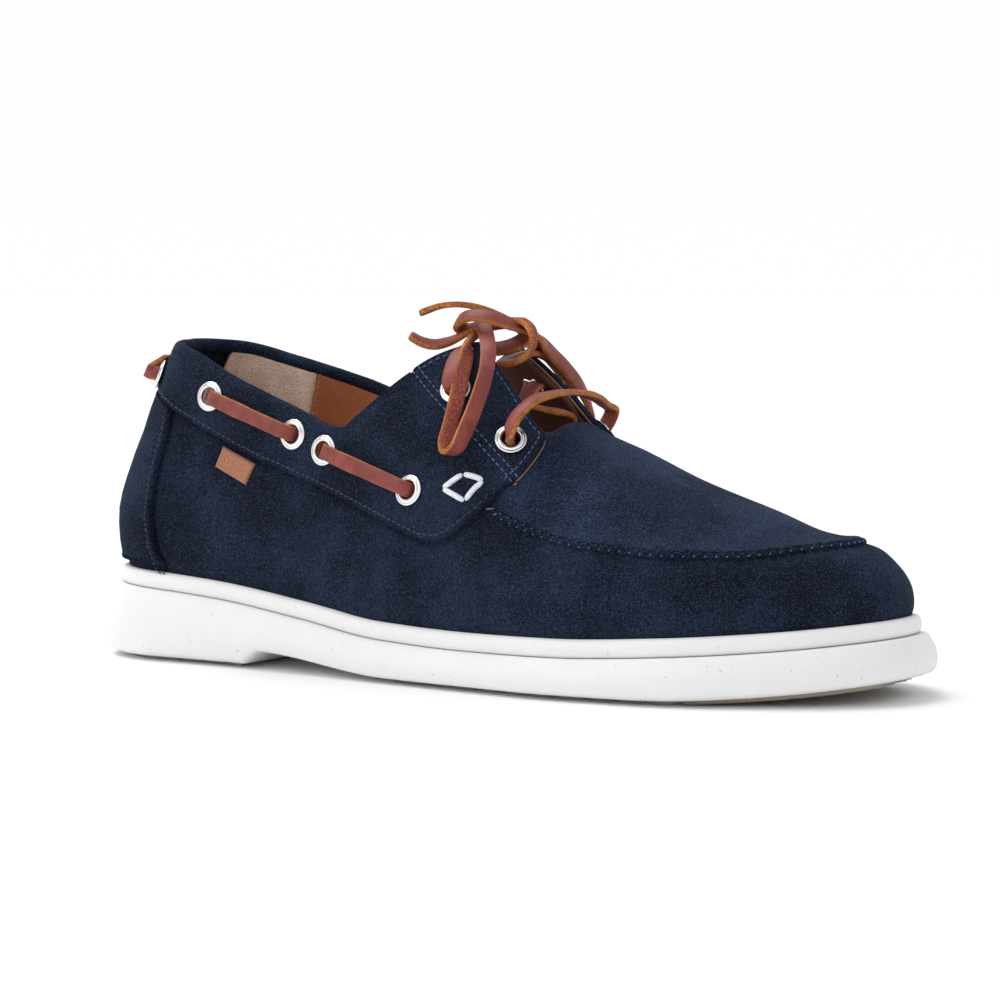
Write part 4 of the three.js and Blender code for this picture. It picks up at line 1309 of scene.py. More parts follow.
# ------------------------------------------------------------------ the upper
@dataclass(frozen=True)
class Crease:
    """A soft dent or swelling in the suede, placed one by one."""

    side: Side
    x: float
    z: float
    long: float
    wide: float
    turn: float
    depth: float


CREASES = (
    Crease(Side.LATERAL, 118, 34, 16, 4.2, 62, -0.55), Crease(Side.LATERAL, 134, 32, 13, 4.0, 68, 0.4),
    Crease(Side.LATERAL, 96, 42, 18, 5.5, 55, -0.4), Crease(Side.LATERAL, 72, 46, 16, 6.5, 80, 0.4),
    Crease(Side.LATERAL, 158, 32, 14, 4.0, 74, -0.45), Crease(Side.LATERAL, 188, 34, 15, 5.0, 96, -0.5),
    Crease(Side.LATERAL, 204, 33, 13, 4.5, 104, 0.35), Crease(Side.LATERAL, 222, 32, 12, 5.0, 112, -0.3),
    Crease(Side.MEDIAL, 110, 36, 16, 4.5, 60, -0.5), Crease(Side.MEDIAL, 140, 32, 14, 4.5, 72, 0.4),
    Crease(Side.MEDIAL, 170, 32, 14, 4.5, 84, -0.45), Crease(Side.MEDIAL, 198, 32, 13, 5.0, 100, 0.35),
    Crease(Side.LATERAL, 44, 60, 14, 5.0, 84, -0.35), Crease(Side.MEDIAL, 60, 52, 15, 6.0, 82, -0.35),
)


@dataclass
class Upper:
    """Suede sides, plug, linings and tongue."""

    last: Last
    wardrobe: Wardrobe
    stitches: StitchTree
    wall: float = 2.0
    split: float = 0.95
    columns: int = 620
    rows: int = 70
    gather: float = 3.3
    lining_seam: float = 57.0
    # x at which the lining turns to its darker copy, which is painted shade.
    flap_seam: float = 128.0
    crease_gain: float = 1.7
    press: float = 0.85

    def __post_init__(self) -> None:
        """Makes the seam curves."""
        self.seam_up = monotone(PLUG_SEAM)
        self.band_edge = monotone(BAND_EDGE)
        self.throat = monotone(THROAT)
        self.counter_line = [np.array(v, float) for v in zip(*[(z, x) for x, z in COUNTER_SEAM])]
        self.top = {side: monotone(TOPLINE[side]) for side in Side}

    def body_top(self, phi: Array) -> Array:
        """t at the top of the suede side: the plug seam, or under the collar."""
        turn = np.degrees(np.arccos(np.cos(phi)))
        band = self.last.height_at(phi, self.band_edge, 4.0)
        weight = smooth((turn - 94.6) / 3.5)
        return band * (1 - weight) + self.seam_up(np.maximum(turn, PLUG_REAR)) * weight

    def creases(self, points: Array) -> Array:
        """Height of the listed dents at points of the skin."""
        out = np.zeros(points.shape[:-1])
        for c in CREASES:
            turn = math.radians(c.turn)
            dx, dz = points[..., 0] - c.x, points[..., 2] - c.z
            along = dx * math.cos(turn) + dz * math.sin(turn)
            across = -dx * math.sin(turn) + dz * math.cos(turn)
            near = np.exp(-((along / c.long) ** 2) - (across / c.wide) ** 2)
            out += np.where(points[..., 1] * c.side.value > 0, c.depth * self.crease_gain * near, 0)
        return out

    def troughs(self, points: Array) -> Array:
        """Depth pressed into the suede along the overlays' edges, at points of the skin."""
        below = self.band_edge(points[..., 0]) - points[..., 2]
        band = np.exp(-(((below - 0.5) / 1.3) ** 2)) * (points[..., 0] < 176)
        ahead = points[..., 0] - np.interp(points[..., 2], *self.counter_line)
        counter = np.exp(-(((ahead - 0.6) / 1.3) ** 2)) * (below > 0)
        return -self.press * np.maximum(band, counter)

    def _sides(self) -> None:
        """The suede from the sole up to the plug seam and the collar."""
        phi = np.arange(self.columns) * TAU / self.columns
        top = self.body_top(phi)
        v = np.linspace(0, 1, self.rows)[:, None]
        t = top * (1 - (1 - v) ** 1.15)
        pp = np.broadcast_to(phi, t.shape)
        base = self.last.skin(pp, t)
        seam = self.last.skin(phi, top)
        away = np.linalg.norm(base - seam, axis=-1)
        run = np.cumsum(np.linalg.norm(seam - np.roll(seam, 1, 0), axis=1))
        turn = np.degrees(np.arccos(np.cos(phi)))
        toe = smooth((turn - 101) / 6)
        pucker = 0.34 * np.exp(-away / 4.5) * np.cos(TAU * run / self.gather) * toe
        swell = 0.8 * np.exp(-(((away - 7) / 5) ** 2)) * toe
        foot = -0.35 * np.exp(-((np.linalg.norm(base - base[:1], axis=-1) / 1.6) ** 2))
        lift = pucker + swell + foot + self.creases(base) + self.troughs(base)
        outer = self.last.at(pp, t, lift)
        inner = self.last.at(pp, t, -self.split)
        points, faces = shell(outer, inner, True)
        place(new_piece(self.last, "upper_sides", points, faces, self.wardrobe.suede), "suede", "upper")

    def _opening(self, phi: Array) -> Array:
        """t at which each column reaches the collar's top edge or the throat."""
        t = np.linspace(0.2, 0.997, 1300)[:, None]
        p = self.last.skin(np.broadcast_to(phi, (len(t), len(phi))), np.broadcast_to(t, (len(t), len(phi))))
        x, y, z = p[..., 0], p[..., 1], p[..., 2]
        drop = 2.2 * (1 - smooth((x - 102) / 7)) + 0.15
        line = np.where(np.sin(phi) > 0, self.top[Side.LATERAL](x), self.top[Side.MEDIAL](x)) - drop
        out = (z > line) | ((x < THROAT_FRONT) & (np.abs(y) < self.throat(x)))
        first = np.argmax(out, axis=0)
        return np.where(out.any(0), t[first, 0], 0.997)

    def _lining(self, name: str, low: float, high: float, material: bpy.types.Material) -> None:
        """Part of the lining between two angles round the shoe."""
        count = max(8, int(abs(high - low) * 62))
        phi = np.linspace(low, high, count)
        top = self._opening(phi)
        body = self.body_top(np.mod(phi, TAU))
        v = np.linspace(0, 1, 40)[:, None]
        t = 0.004 + (top - 0.004) * v
        pp = np.broadcast_to(phi, t.shape)
        turn = np.degrees(np.arccos(np.cos(phi)))
        thin = smooth((t - body - 0.006) / 0.02) * (turn < PLUG_REAR - 1)
        outer = self.last.at(pp, t, -self.split - 0.06 + 1.0 * thin)
        inner = self.last.at(pp, t, -self.wall)
        points, faces = shell(outer, inner, False)
        place(new_piece(self.last, name, points, faces, material), "lining_leather", "upper")

    def _plug(self) -> None:
        """The top panel with its raised, gathered seam."""
        last = self.last
        turn = np.radians(np.linspace(PLUG_REAR, 180, 90))
        up = self.seam_up(np.degrees(turn))
        left = last.skin(turn, up)[:, :2]
        right = last.skin(TAU - turn, up)[:, :2][::-1]
        rear = []
        for phi in (TAU - turn[0], turn[0]):
            t = np.linspace(float(up[0]), float(self._opening(np.array([phi]))[0]), 10)[1:-1]
            rear.append(last.skin(np.full(len(t), phi), t)[:, :2])
        mouth = [
            (178.6, 19.6), (THROAT_FRONT, 15.5), (THROAT_FRONT, 0), (THROAT_FRONT, -15.5),
            (178.6, -19.6),
        ]
        outline = np.vstack([left, right[1:], rear[0], mouth, rear[1][::-1]])

        def lip(base: Array, away: Array) -> Array:
            """The edge stands up where it is sewn to the sides."""
            clear = smooth((np.hypot(base[:, 0] - 180, base[:, 1]) - 22) / 10)
            seam = smooth((base[:, 0] - 179) / 10) * clear
            return 1.7 * np.exp(-((away / 3.4) ** 1.6)) * seam + self.creases(base) * 0.4

        panel = Panel(last, Chart.PLAN, outline, -self.split, 0.2, 1.0, (), relief=lip)
        # The plug takes the lighter suede copy: partly its own nap, partly painted light from above.
        place(panel.build("upper_plug", self.wardrobe.suede_plug), "suede", "upper")
        phi = np.concatenate([turn, TAU - turn[::-1][1:]])
        ups = np.concatenate([up, up[::-1][1:]])
        line = last.at(phi, ups - 0.012, 0.45)
        facing = last.normal(phi, ups)
        both = even(line, 0.55, np.concatenate([line, facing], -1))[1]
        line, facing = both[:, :3], both[:, 3:]
        run = lengths(line)
        ends = smooth(run / 5) * smooth((run[-1] - run) / 5)
        size = (1.1 + 0.26 * np.cos(TAU * run / self.gather)) * (0.25 + 0.75 * ends)
        points, faces = sweep(line, facing, round_section(10), size)
        roll = new_piece(last, "upper_seam_roll", points, faces, self.wardrobe.suede)
        place(roll, "suede", "upper")
        sewn = line + facing * 0.72
        done = self.stitches.run(
            last, "upper_seam_stitches", [(sewn, unit(facing))], self.wardrobe.blue,
            self.gather, 3.3, 0.62, 0.6, 0.62,
        )
        place(done, "suede", "upper")

    def _tongue(self) -> None:
        """The tongue under the lacing."""
        rows = ((146, 13), (150, 15.5), (165, 17), (186, 20), (203, 18), (208, 12))
        half = monotone(rows)
        x, u = np.linspace(147.5, 206.5, 50), np.linspace(-1, 1, 40)
        xx = np.repeat(x[:, None], len(u), 1)
        sag = 0.9 * np.sin(math.pi * clip((xx - 147) / 30)) * (1 - u**2)
        y = half(xx) * u * 0.93
        phi, t = self.last.surface(Chart.PLAN, np.stack([xx.ravel(), y.ravel()], -1))
        drop = -(2.3 + 12 * smooth((186 - xx) / 14) + 5 * smooth((172 - xx) / 20)).ravel() - sag.ravel()
        outer = self.last.at(phi, t, drop).reshape(*xx.shape, 3)
        inner = self.last.at(phi, t, drop - 1.9).reshape(*xx.shape, 3)
        points, faces = shell(outer, inner, False)
        place(new_piece(self.last, "tongue_leaf", points, faces, self.wardrobe.suede), "suede", "tongue")

    def build(self) -> None:
        """Makes the sides, plug, linings and tongue."""
        self._sides()
        self._plug()
        last = self.last
        seam = {s: last.seen([(self.lining_seam, 70.0)], s)[0, 0] for s in Side}
        front = math.radians(99.0)
        low, high = float(seam[Side.MEDIAL]), float(seam[Side.LATERAL])
        self._lining("lining_heel", low, high, self.wardrobe.lining_suede)
        # Ahead of this line the lining is the tan leather painted darker, and over the vamp too: painted
        # shade inside the front of the shoe.
        flap = {s: float(last.seen([(self.flap_seam, 70.0)], s)[0, 0]) for s in Side}
        self._lining("lining_quarter_lateral", high + 0.004, flap[Side.LATERAL], self.wardrobe.lining)
        self._lining("lining_quarter_medial", flap[Side.MEDIAL], low - 0.004, self.wardrobe.lining)
        self._lining("lining_flap_lateral", flap[Side.LATERAL] + 0.004, front, self.wardrobe.flap_lining)
        self._lining("lining_flap_medial", -front, flap[Side.MEDIAL] - 0.004, self.wardrobe.flap_lining)
        self._lining("lining_vamp", front + 0.004, TAU - front - 0.004, self.wardrobe.flap_lining)
        self._tongue()
        runs = []
        for edge, sign in ((high, 1.0), (low, -1.0)):
            phi = np.full(60, edge + sign * 0.014)
            t = np.linspace(0.02, float(self._opening(phi[:1])[0]) - 0.01, 60)
            runs.append((last.at(phi, t, -self.wall - 0.06), -last.normal(phi, t)))
        sewn = self.stitches.run(last, "lining_stitches", runs, self.wardrobe.tan, 2.3, 1.5, 0.5, 0.45)
        place(sewn, "lining_leather", "upper")


# ---------------------------------------------------------------- the overlays
@dataclass
class Eyelet:
    """One eyelet's place: its middle on the overlay's face and its direction."""

    name: str
    side: Side
    middle: Array
    out: Array
    lift: float
    phi: float
    t: float

    def via(self, out: float, x: float = 0.0, y: float = 0.0, z: float = 0.0) -> Array:
        """Point out from the face, moved by (x, y, z)."""
        return self.middle + self.out * out + np.array([x, y, z])


@dataclass
class Overlays:
    """Collar, eyestays, heel counter, tab and their stitching."""

    last: Last
    wardrobe: Wardrobe
    stitches: StitchTree
    upper: Upper
    gap: float = 0.3
    band: float = 2.0
    flap: float = 2.0
    counter: float = 1.8
    hole: float = 3.2
    eyelets: dict[str, Eyelet] = field(default_factory=dict)

    def __post_init__(self) -> None:
        """Finds the eyelets."""
        for name, x, z, lift in EYELETS:
            for side in Side:
                phi, t = (float(v) for v in self.last.seen([(x, z)], side)[0])
                n = self.last.normal(np.array([phi]), np.array([t]))[0]
                face = self.gap + (self.flap if name.startswith("throat") else self.band)
                p = self.last.at(np.array([phi]), np.array([t]), face)[0]
                self.eyelets[f"{side.word}_{name}"] = Eyelet(name, side, p, n, lift, phi, t)

    def holes(self, *names: str) -> list[Array]:
        """Chart loops of the holes punched for the named eyelets."""
        out = []
        for name in names:
            e = self.eyelets[name]
            uv = np.array([[e.phi, e.t]]) * WRAP_SCALE
            a = unit(np.cross(e.out, [0.0, 0.0, 1.0]))
            b = np.cross(e.out, a)
            turn = np.arange(22)[:, None] * TAU / 22
            ring = (np.cos(turn) * a + np.sin(turn) * b) * self.hole
            base = self.last.skin(uv[:, 0] / WRAP_SCALE, uv[:, 1] / WRAP_SCALE)
            panel = Panel(self.last, Chart.WRAP, uv, 0, 0)
            out.append(panel._move(np.repeat(uv, 22, 0), np.repeat(base, 22, 0), ring))
        return out

    def _seen(self, rows: Rows, side: Side) -> Array:
        """Chart places of a side view table."""
        x = np.array([r[0] for r in rows], float)
        z = np.array([r[1] for r in rows], float)
        dense = even(np.stack([x, z], -1), 1.5)[0]
        return self.last.seen(dense, side) * WRAP_SCALE

    def _edge(self, line: Curve, start: float, end: float, count: int, lift: float | Curve = 0.0) -> Array:
        """Chart places along a height line, between two angles."""
        phi = np.linspace(start, end, count)
        t = np.array(self.last.height_at(np.mod(phi, TAU), line, lift))
        return np.stack([phi, t], -1) * WRAP_SCALE

    def _collar_outline(self) -> Array:
        """Outline of the collar overlay, from one eyestay round the heel to the other."""
        drop = lambda x: -(2.1 * (1 - smooth((x - 103) / 7)) + 0.1)
        foot = {s: self.last.seen([(176.2, 61.9)], s)[0, 0] for s in Side}
        head = {s: self.last.seen([(135.2, 95.4)], s)[0, 0] for s in Side}
        parts = [self._edge(self.upper.band_edge, foot[Side.MEDIAL], foot[Side.LATERAL], 420)]
        parts.append(self._seen([(x + 0.5, z + 0.5) for x, z in FLAP_SEAM], Side.LATERAL)[1:-1])
        parts.append(self._edge(self.upper.top[Side.LATERAL], head[Side.LATERAL], 0.0, 160, drop))
        parts.append(self._edge(self.upper.top[Side.MEDIAL], -0.01, head[Side.MEDIAL], 160, drop))
        parts.append(self._seen([(x + 0.5, z + 0.5) for x, z in FLAP_SEAM], Side.MEDIAL)[::-1][1:-1])
        return np.vstack(parts)

    def _flap_outline(self, side: Side, grow: float = 0.0) -> Array:
        """Outline of one eyestay, moved out at its front by grow."""
        top = self.upper.top[side]
        rows = [(x, float(top(np.array(x)))) for x in np.linspace(136.4, 175.0, 60)]
        edge = self.last.seen(rows, side)
        p = self.last.skin(edge[:, 0], edge[:, 1])
        keep = np.abs(p[:, 1]) > self.upper.throat(p[:, 0]) + 0.2
        stop = int(np.argmin(keep)) if not keep.all() else len(keep)
        corner = p[max(stop - 1, 0), 0]
        x = np.linspace(corner + 0.6, 179.4, 40)
        y = side.value * (self.upper.throat(x) - grow)
        phi, t = self.last.seek(np.stack([x, y], -1), (0, 1), side)
        mouth = np.stack([np.where(phi > math.pi, phi - TAU, phi), t], -1)
        front = [(a + grow * 0.9, b - grow * 0.5) for a, b in FLAP_FRONT][::-1]
        tuck = 4.0 if grow else -0.3
        seam = [(a + tuck, b + tuck) for a, b in FLAP_SEAM]
        if grow:
            seam[0] = (179.0, 62.6)
        nose = soften(np.vstack([mouth * WRAP_SCALE, self._seen(front, side)]), 0.8, 26)
        return np.vstack([self._seen(seam, side), edge[:stop] * WRAP_SCALE, nose])

    def _shift(self, line: Array, distance: float, offset: float, sign: float) -> tuple[Array, Array]:
        """A seam line moved sideways on the skin and lifted off it."""
        panel = Panel(self.last, Chart.WRAP, line, 0, 0)
        p = panel._point(line)
        n = self.last.normal(*self.last.surface(Chart.WRAP, line))
        across = unit(np.cross(n, unit(np.gradient(p, axis=0)))) * sign
        moved = panel._move(line, p, across * distance)
        phi, t = self.last.surface(Chart.WRAP, moved)
        return self.last.at(phi, t, offset), self.last.normal(phi, t)

    def _collar(self) -> None:
        """The collar overlay and its padded rim."""
        names = ("heel", "rear", "rear_front", "front_rear", "front")
        holes = self.holes(*(f"{s.word}_{n}" for s in Side for n in names))
        panel = Panel(
            self.last, Chart.WRAP, self._collar_outline(), 0.15, self.gap + self.band, 0.7,
            (1.5,), holes=holes,
        )
        place(panel.build("collar_overlay", self.wardrobe.suede), "suede", "collar_band")
        phi = []
        for side, x in ((Side.LATERAL, 112.0), (Side.MEDIAL, 113.0)):
            z = float(self.upper.top[side](np.array(x))) - 2.0
            phi.append(self.last.seen([(x, z)], side)[0, 0])
        turn = np.linspace(phi[0], phi[1], 420)
        t = np.where(
            turn > 0,
            self.last.height_at(np.mod(turn, TAU), self.upper.top[Side.LATERAL], -2.15),
            self.last.height_at(np.mod(turn, TAU), self.upper.top[Side.MEDIAL], -2.15),
        )
        line = self.last.at(turn, t, -0.12)
        facing = self.last.normal(turn, t)
        run = lengths(line)
        ends = smooth(run / 9) * smooth((run[-1] - run) / 9)
        wobble = 1 + 0.012 * np.sin(run / 5.3) + 0.01 * np.sin(run / 2.1 + 1)
        points, faces = sweep(line, facing, round_section(18), (1.35 + 1.0 * ends) * wobble)
        rim = new_piece(self.last, "collar_rim", points, faces, self.wardrobe.suede)
        place(rim, "suede", "collar_band")

    def _flaps(self, side: Side) -> None:
        """One eyestay on its lining."""
        node = f"eyestay_{side.word}"
        names = (f"{side.word}_throat_upper", f"{side.word}_throat_lower")
        face = self.gap + self.flap + 0.25
        panel = Panel(
            self.last, Chart.WRAP, self._flap_outline(side), 0.56, face, 0.9, (1.5,), holes=self.holes(*names)
        )
        place(panel.build(node + "_suede", self.wardrobe.suede), "suede", node)
        panel = Panel(
            self.last, Chart.WRAP, self._flap_outline(side, 0.2), 0.12, 0.55, 0.3, (),
            holes=self.holes(*names),
        )
        place(panel.build(node + "_lining", self.wardrobe.edge), "lining_leather", node)

    def _counter(self) -> None:
        """Heel counter from the sole up to under the collar."""
        seam = {s: self._seen([(x, z) for x, z in COUNTER_SEAM], s) for s in Side}
        foot = {s: float(seam[s][0, 0]) for s in Side}
        low = np.linspace(foot[Side.MEDIAL], foot[Side.LATERAL], 120)
        base = np.stack([low, np.full(len(low), 0.006 * WRAP_SCALE)], -1)
        top = self._edge(
            self.upper.band_edge, float(seam[Side.LATERAL][-1, 0]) / WRAP_SCALE,
            float(seam[Side.MEDIAL][-1, 0]) / WRAP_SCALE, 120, -0.3,
        )
        trim = {s: seam[s][seam[s][:, 1] > 0.02 * WRAP_SCALE] for s in Side}
        limit = {Side.LATERAL: float(top[0, 1]) - 0.4, Side.MEDIAL: float(top[-1, 1]) - 0.4}
        trim = {s: trim[s][trim[s][:, 1] < limit[s]] for s in Side}
        outline = np.vstack([base, trim[Side.LATERAL], top, trim[Side.MEDIAL][::-1]])
        panel = Panel(self.last, Chart.WRAP, outline, 0.02, self.gap + self.counter, 0.8, (2.0,), 0.3)
        place(panel.build("counter_suede", self.wardrobe.suede), "suede", "heel_counter")

    def _tab(self) -> None:
        """Small ribbed tab hanging from the collar's edge."""
        corners = self.last.seen(TAB, Side.LATERAL)
        u, v = np.meshgrid(np.linspace(0, 1, 61), np.linspace(0, 1, 22))
        a, b, c, d = corners[3], corners[2], corners[1], corners[0]
        rows = [
            a[k] * (1 - u) * (1 - v) + b[k] * u * (1 - v) + c[k] * u * v + d[k] * (1 - u) * v for k in (0, 1)
        ]
        edge = np.minimum(np.minimum(u, 1 - u) * 14.5, np.minimum(v, 1 - v) * 8)
        round_off = 1 - clip(1 - edge / 0.7) ** 2
        rib = 0.16 * np.abs(np.cos(math.pi * u * 15))
        weave = 0.05 * np.cos(TAU * v * 11)
        outer = self.last.at(rows[0], rows[1], 0.3 + 0.85 * round_off + rib + weave)
        inner = self.last.at(rows[0], rows[1], 0.05)
        points, faces = shell(outer, inner, False)
        place(new_piece(self.last, "tab_ribbed", points, faces, self.wardrobe.tab), "woven_tab", "tab")

    def _threads(self) -> None:
        """All the stitch rows of the overlays."""
        last, dress = self.last, self.wardrobe
        top = self.gap + self.flap + 0.15
        fine, close = [], []
        for side in Side:
            sign = 1.0 if side is Side.LATERAL else -1.0
            seam = self._seen(FLAP_SEAM, side)
            fine += [self._shift(seam, d, top, -sign) for d in (1.45, 3.75)]
            front = self._seen(FLAP_FRONT, side)
            x = np.linspace(158, 179.0, 30)
            phi, t = last.seek(np.stack([x, side.value * self.upper.throat(x)], -1), (0, 1), side)
            mouth = np.stack([np.where(phi > math.pi, phi - TAU, phi), t], -1) * WRAP_SCALE
            run = soften(np.vstack([front, mouth[::-1]]), 0.8, 26)
            _, run = even(Panel(last, Chart.WRAP, run, 0, 0)._point(run), 1.6, run)
            fine.append(self._shift(run, 2.2, top, sign))
            rows = [(x, float(self.upper.top[side](np.array(x)))) for x in np.linspace(139, 150, 12)]
            fine.append(self._shift(last.seen(rows, side) * WRAP_SCALE, 2.0, top, -sign))
        foot = {s: last.seen([(171.0, 55.4)], s)[0, 0] for s in Side}
        edge = self._edge(self.upper.band_edge, foot[Side.MEDIAL], foot[Side.LATERAL], 400)
        edge_run = self._shift(edge, 1.5, self.gap + self.band - 0.12, 1.0)
        for side in Side:
            rows = [(x, z) for x, z in COUNTER_SEAM]
            sign = 1.0 if side is Side.LATERAL else -1.0
            close.append(self._shift(self._seen(rows, side), 1.9, self.gap + self.counter - 0.16, sign))
        place(
            self.stitches.run(last, "eyestay_stitches", fine, dress.blue, 2.25, 1.75, 0.5, 0.5),
            "suede", "eyestay_lateral", "eyestay_medial",
        )
        place(
            self.stitches.run(last, "collar_stitches", [edge_run], dress.navy, 2.3, 1.8, 0.5, 0.5),
            "suede", "collar_band",
        )
        place(
            self.stitches.run(last, "counter_stitches", close, dress.navy, 1.9, 1.5, 0.5, 0.5),
            "suede", "heel_counter",
        )
        marks = []
        for side in Side:
            loop = self.last.seen([*CONTRAST, CONTRAST[0]], side) * WRAP_SCALE
            for a, b in zip(loop[:-1], loop[1:]):
                uv = a + (b - a) * np.linspace(0.03, 0.97, 9)[:, None]
                phi, t = last.surface(Chart.WRAP, uv)
                hump = 0.42 * np.sin(np.linspace(0, math.pi, 9)) ** 0.5
                marks.append((last.at(phi, t, self.gap + self.band - 0.15 + hump), last.normal(phi, t)))
        points, faces = [], []
        for line, facing in marks:
            dense, up = even(line, 0.5)[0], even(line, 0.5, facing)[1]
            run = np.linspace(0, 1, len(dense))
            size = 0.8 * (1 - np.abs(2 * run - 1) ** 6) ** 0.5 + 0.12
            p, f = sweep(dense, up, round_section(9), size)
            faces += [[v + sum(len(q) for q in points) for v in g] for g in f]
            points.append(p)
        done = new_piece(last, "collar_contrast_stitches", np.concatenate(points), faces, dress.white)
        place(done, "suede", "collar_band")

    def _rings(self) -> None:
        """The metal eyelets, rolled in front and set with prongs behind."""
        turn = np.arange(44) * TAU / 44
        for name, e in self.eyelets.items():
            back = -(self.gap + (self.flap if e.name.startswith("throat") else self.band)) - 2.0
            f = e.lift - 0.5
            profile = [
                (3.3, f), (4.6, f), (5.0, f + 0.12), (5.08, f + 0.4), (4.9, f + 0.72), (4.5, f + 0.86),
                (4.28, f + 0.76), (4.18, f + 0.8), (4.0, f + 1.12), (3.6, f + 1.3), (3.2, f + 1.2),
                (2.95, f + 0.8), (2.9, f + 0.2), (2.9, back - 0.35), (3.2, back - 0.6), (3.9, back - 0.55),
                (4.4, back - 0.2), (4.3, back - 0.02), (3.5, back - 0.05), (3.3, back + 0.2),
            ]
            if not e.name.startswith("throat"):
                profile = profile[:13] + [(2.9, back + 0.9), (3.15, back + 0.9), (3.3, back + 1.1)]
            a = unit(np.cross(e.out, [0.0, 0.0, 1.0]))
            b = np.cross(e.out, a)
            rings = []
            for r, h in profile:
                lobes = 1 + (0.13 * np.cos(6 * turn) if h < back and r > 3.3 else 0.0) + 0 * turn
                spoke = np.cos(turn)[:, None] * a + np.sin(turn)[:, None] * b
                rings.append(e.middle + spoke * (r * lobes)[:, None] + e.out * h)
            n, m = len(turn), len(rings)
            faces = [
                [j * n + i, j * n + (i + 1) % n, ((j + 1) % m) * n + (i + 1) % n, ((j + 1) % m) * n + i]
                for j in range(m) for i in range(n)
            ]
            piece = new_piece(self.last, f"ring_{name}", np.concatenate(rings), faces, self.wardrobe.metal)
            place(piece, "eyelet_metal", f"eyelet_{name}")

    def build(self) -> None:
        """Makes the overlays, their stitches and the eyelets."""
        self._collar()
        for side in Side:
            self._flaps(side)
        self._counter()
        self._tab()
        self._threads()
        self._rings()


# ------------------------------------------------------------------ the laces
@dataclass
class Strap:
    """A flat leather lace along a line, its grain side facing outwards."""

    last: Last
    material: bpy.types.Material
    width: float = 4.9
    thick: float = 1.9

    def section(self) -> tuple[Array, Array, Array]:
        """Section points, and which of them are grain and which are flesh side."""
        w, h = self.width / 2, self.thick / 2
        rows = (
            (-w + 0.34, h, 1, 0), (0, h + 0.1, 1, 0), (w - 0.34, h, 1, 0), (w - 0.1, h - 0.14, 0.5, 0),
            (w, h - 0.42, 0, 0), (w, -h + 0.4, 0, 0), (w - 0.3, -h, 0, 0.6), (w * 0.5, -h - 0.03, 0, 1),
            (-w * 0.5, -h + 0.03, 0, 1), (-w + 0.3, -h, 0, 0.6), (-w, -h + 0.4, 0, 0), (-w, h - 0.42, 0, 0),
            (-w + 0.1, h - 0.14, 0.5, 0),
        )
        table = np.array(rows, float)
        return table[:, :2], table[:, 2], table[:, 3]

    def build(self, name: str, rows: Array, blunt: bool = True) -> tuple[bpy.types.Object, Array]:
        """The strap through control rows.

        Args:
            name: Piece name.
            rows: Rows (x, y, z, facing x, facing y, facing z).
            blunt: True to round the two ends off a little.

        Returns:
            The object and its middle line in the row frame.
        """
        dense = spline(np.asarray(rows, float), 16)
        line, table = even(dense[:, :3], 0.75, dense)
        facing = unit(table[:, 3:])
        for _ in range(3):
            facing[1:-1] = unit(facing[:-2] + 2 * facing[1:-1] + facing[2:])
        section, grain, back = self.section()
        run = lengths(line)
        end = np.minimum(run, run[-1] - run)
        wander = 1 + 0.025 * np.sin(run / 6.1 + line[0, 0]) + 0.015 * np.sin(run / 2.3)
        size = wander * (0.86 + 0.14 * smooth(end / 0.8) if blunt else 1.0)
        points, faces = sweep(line, facing, section, size)
        count = len(line)
        attributes = {"grain": np.tile(grain, count), "back": np.tile(back, count)}
        piece = new_piece(self.last, name, points, faces, self.material, attributes)
        return piece, self.last.to_frame(line)


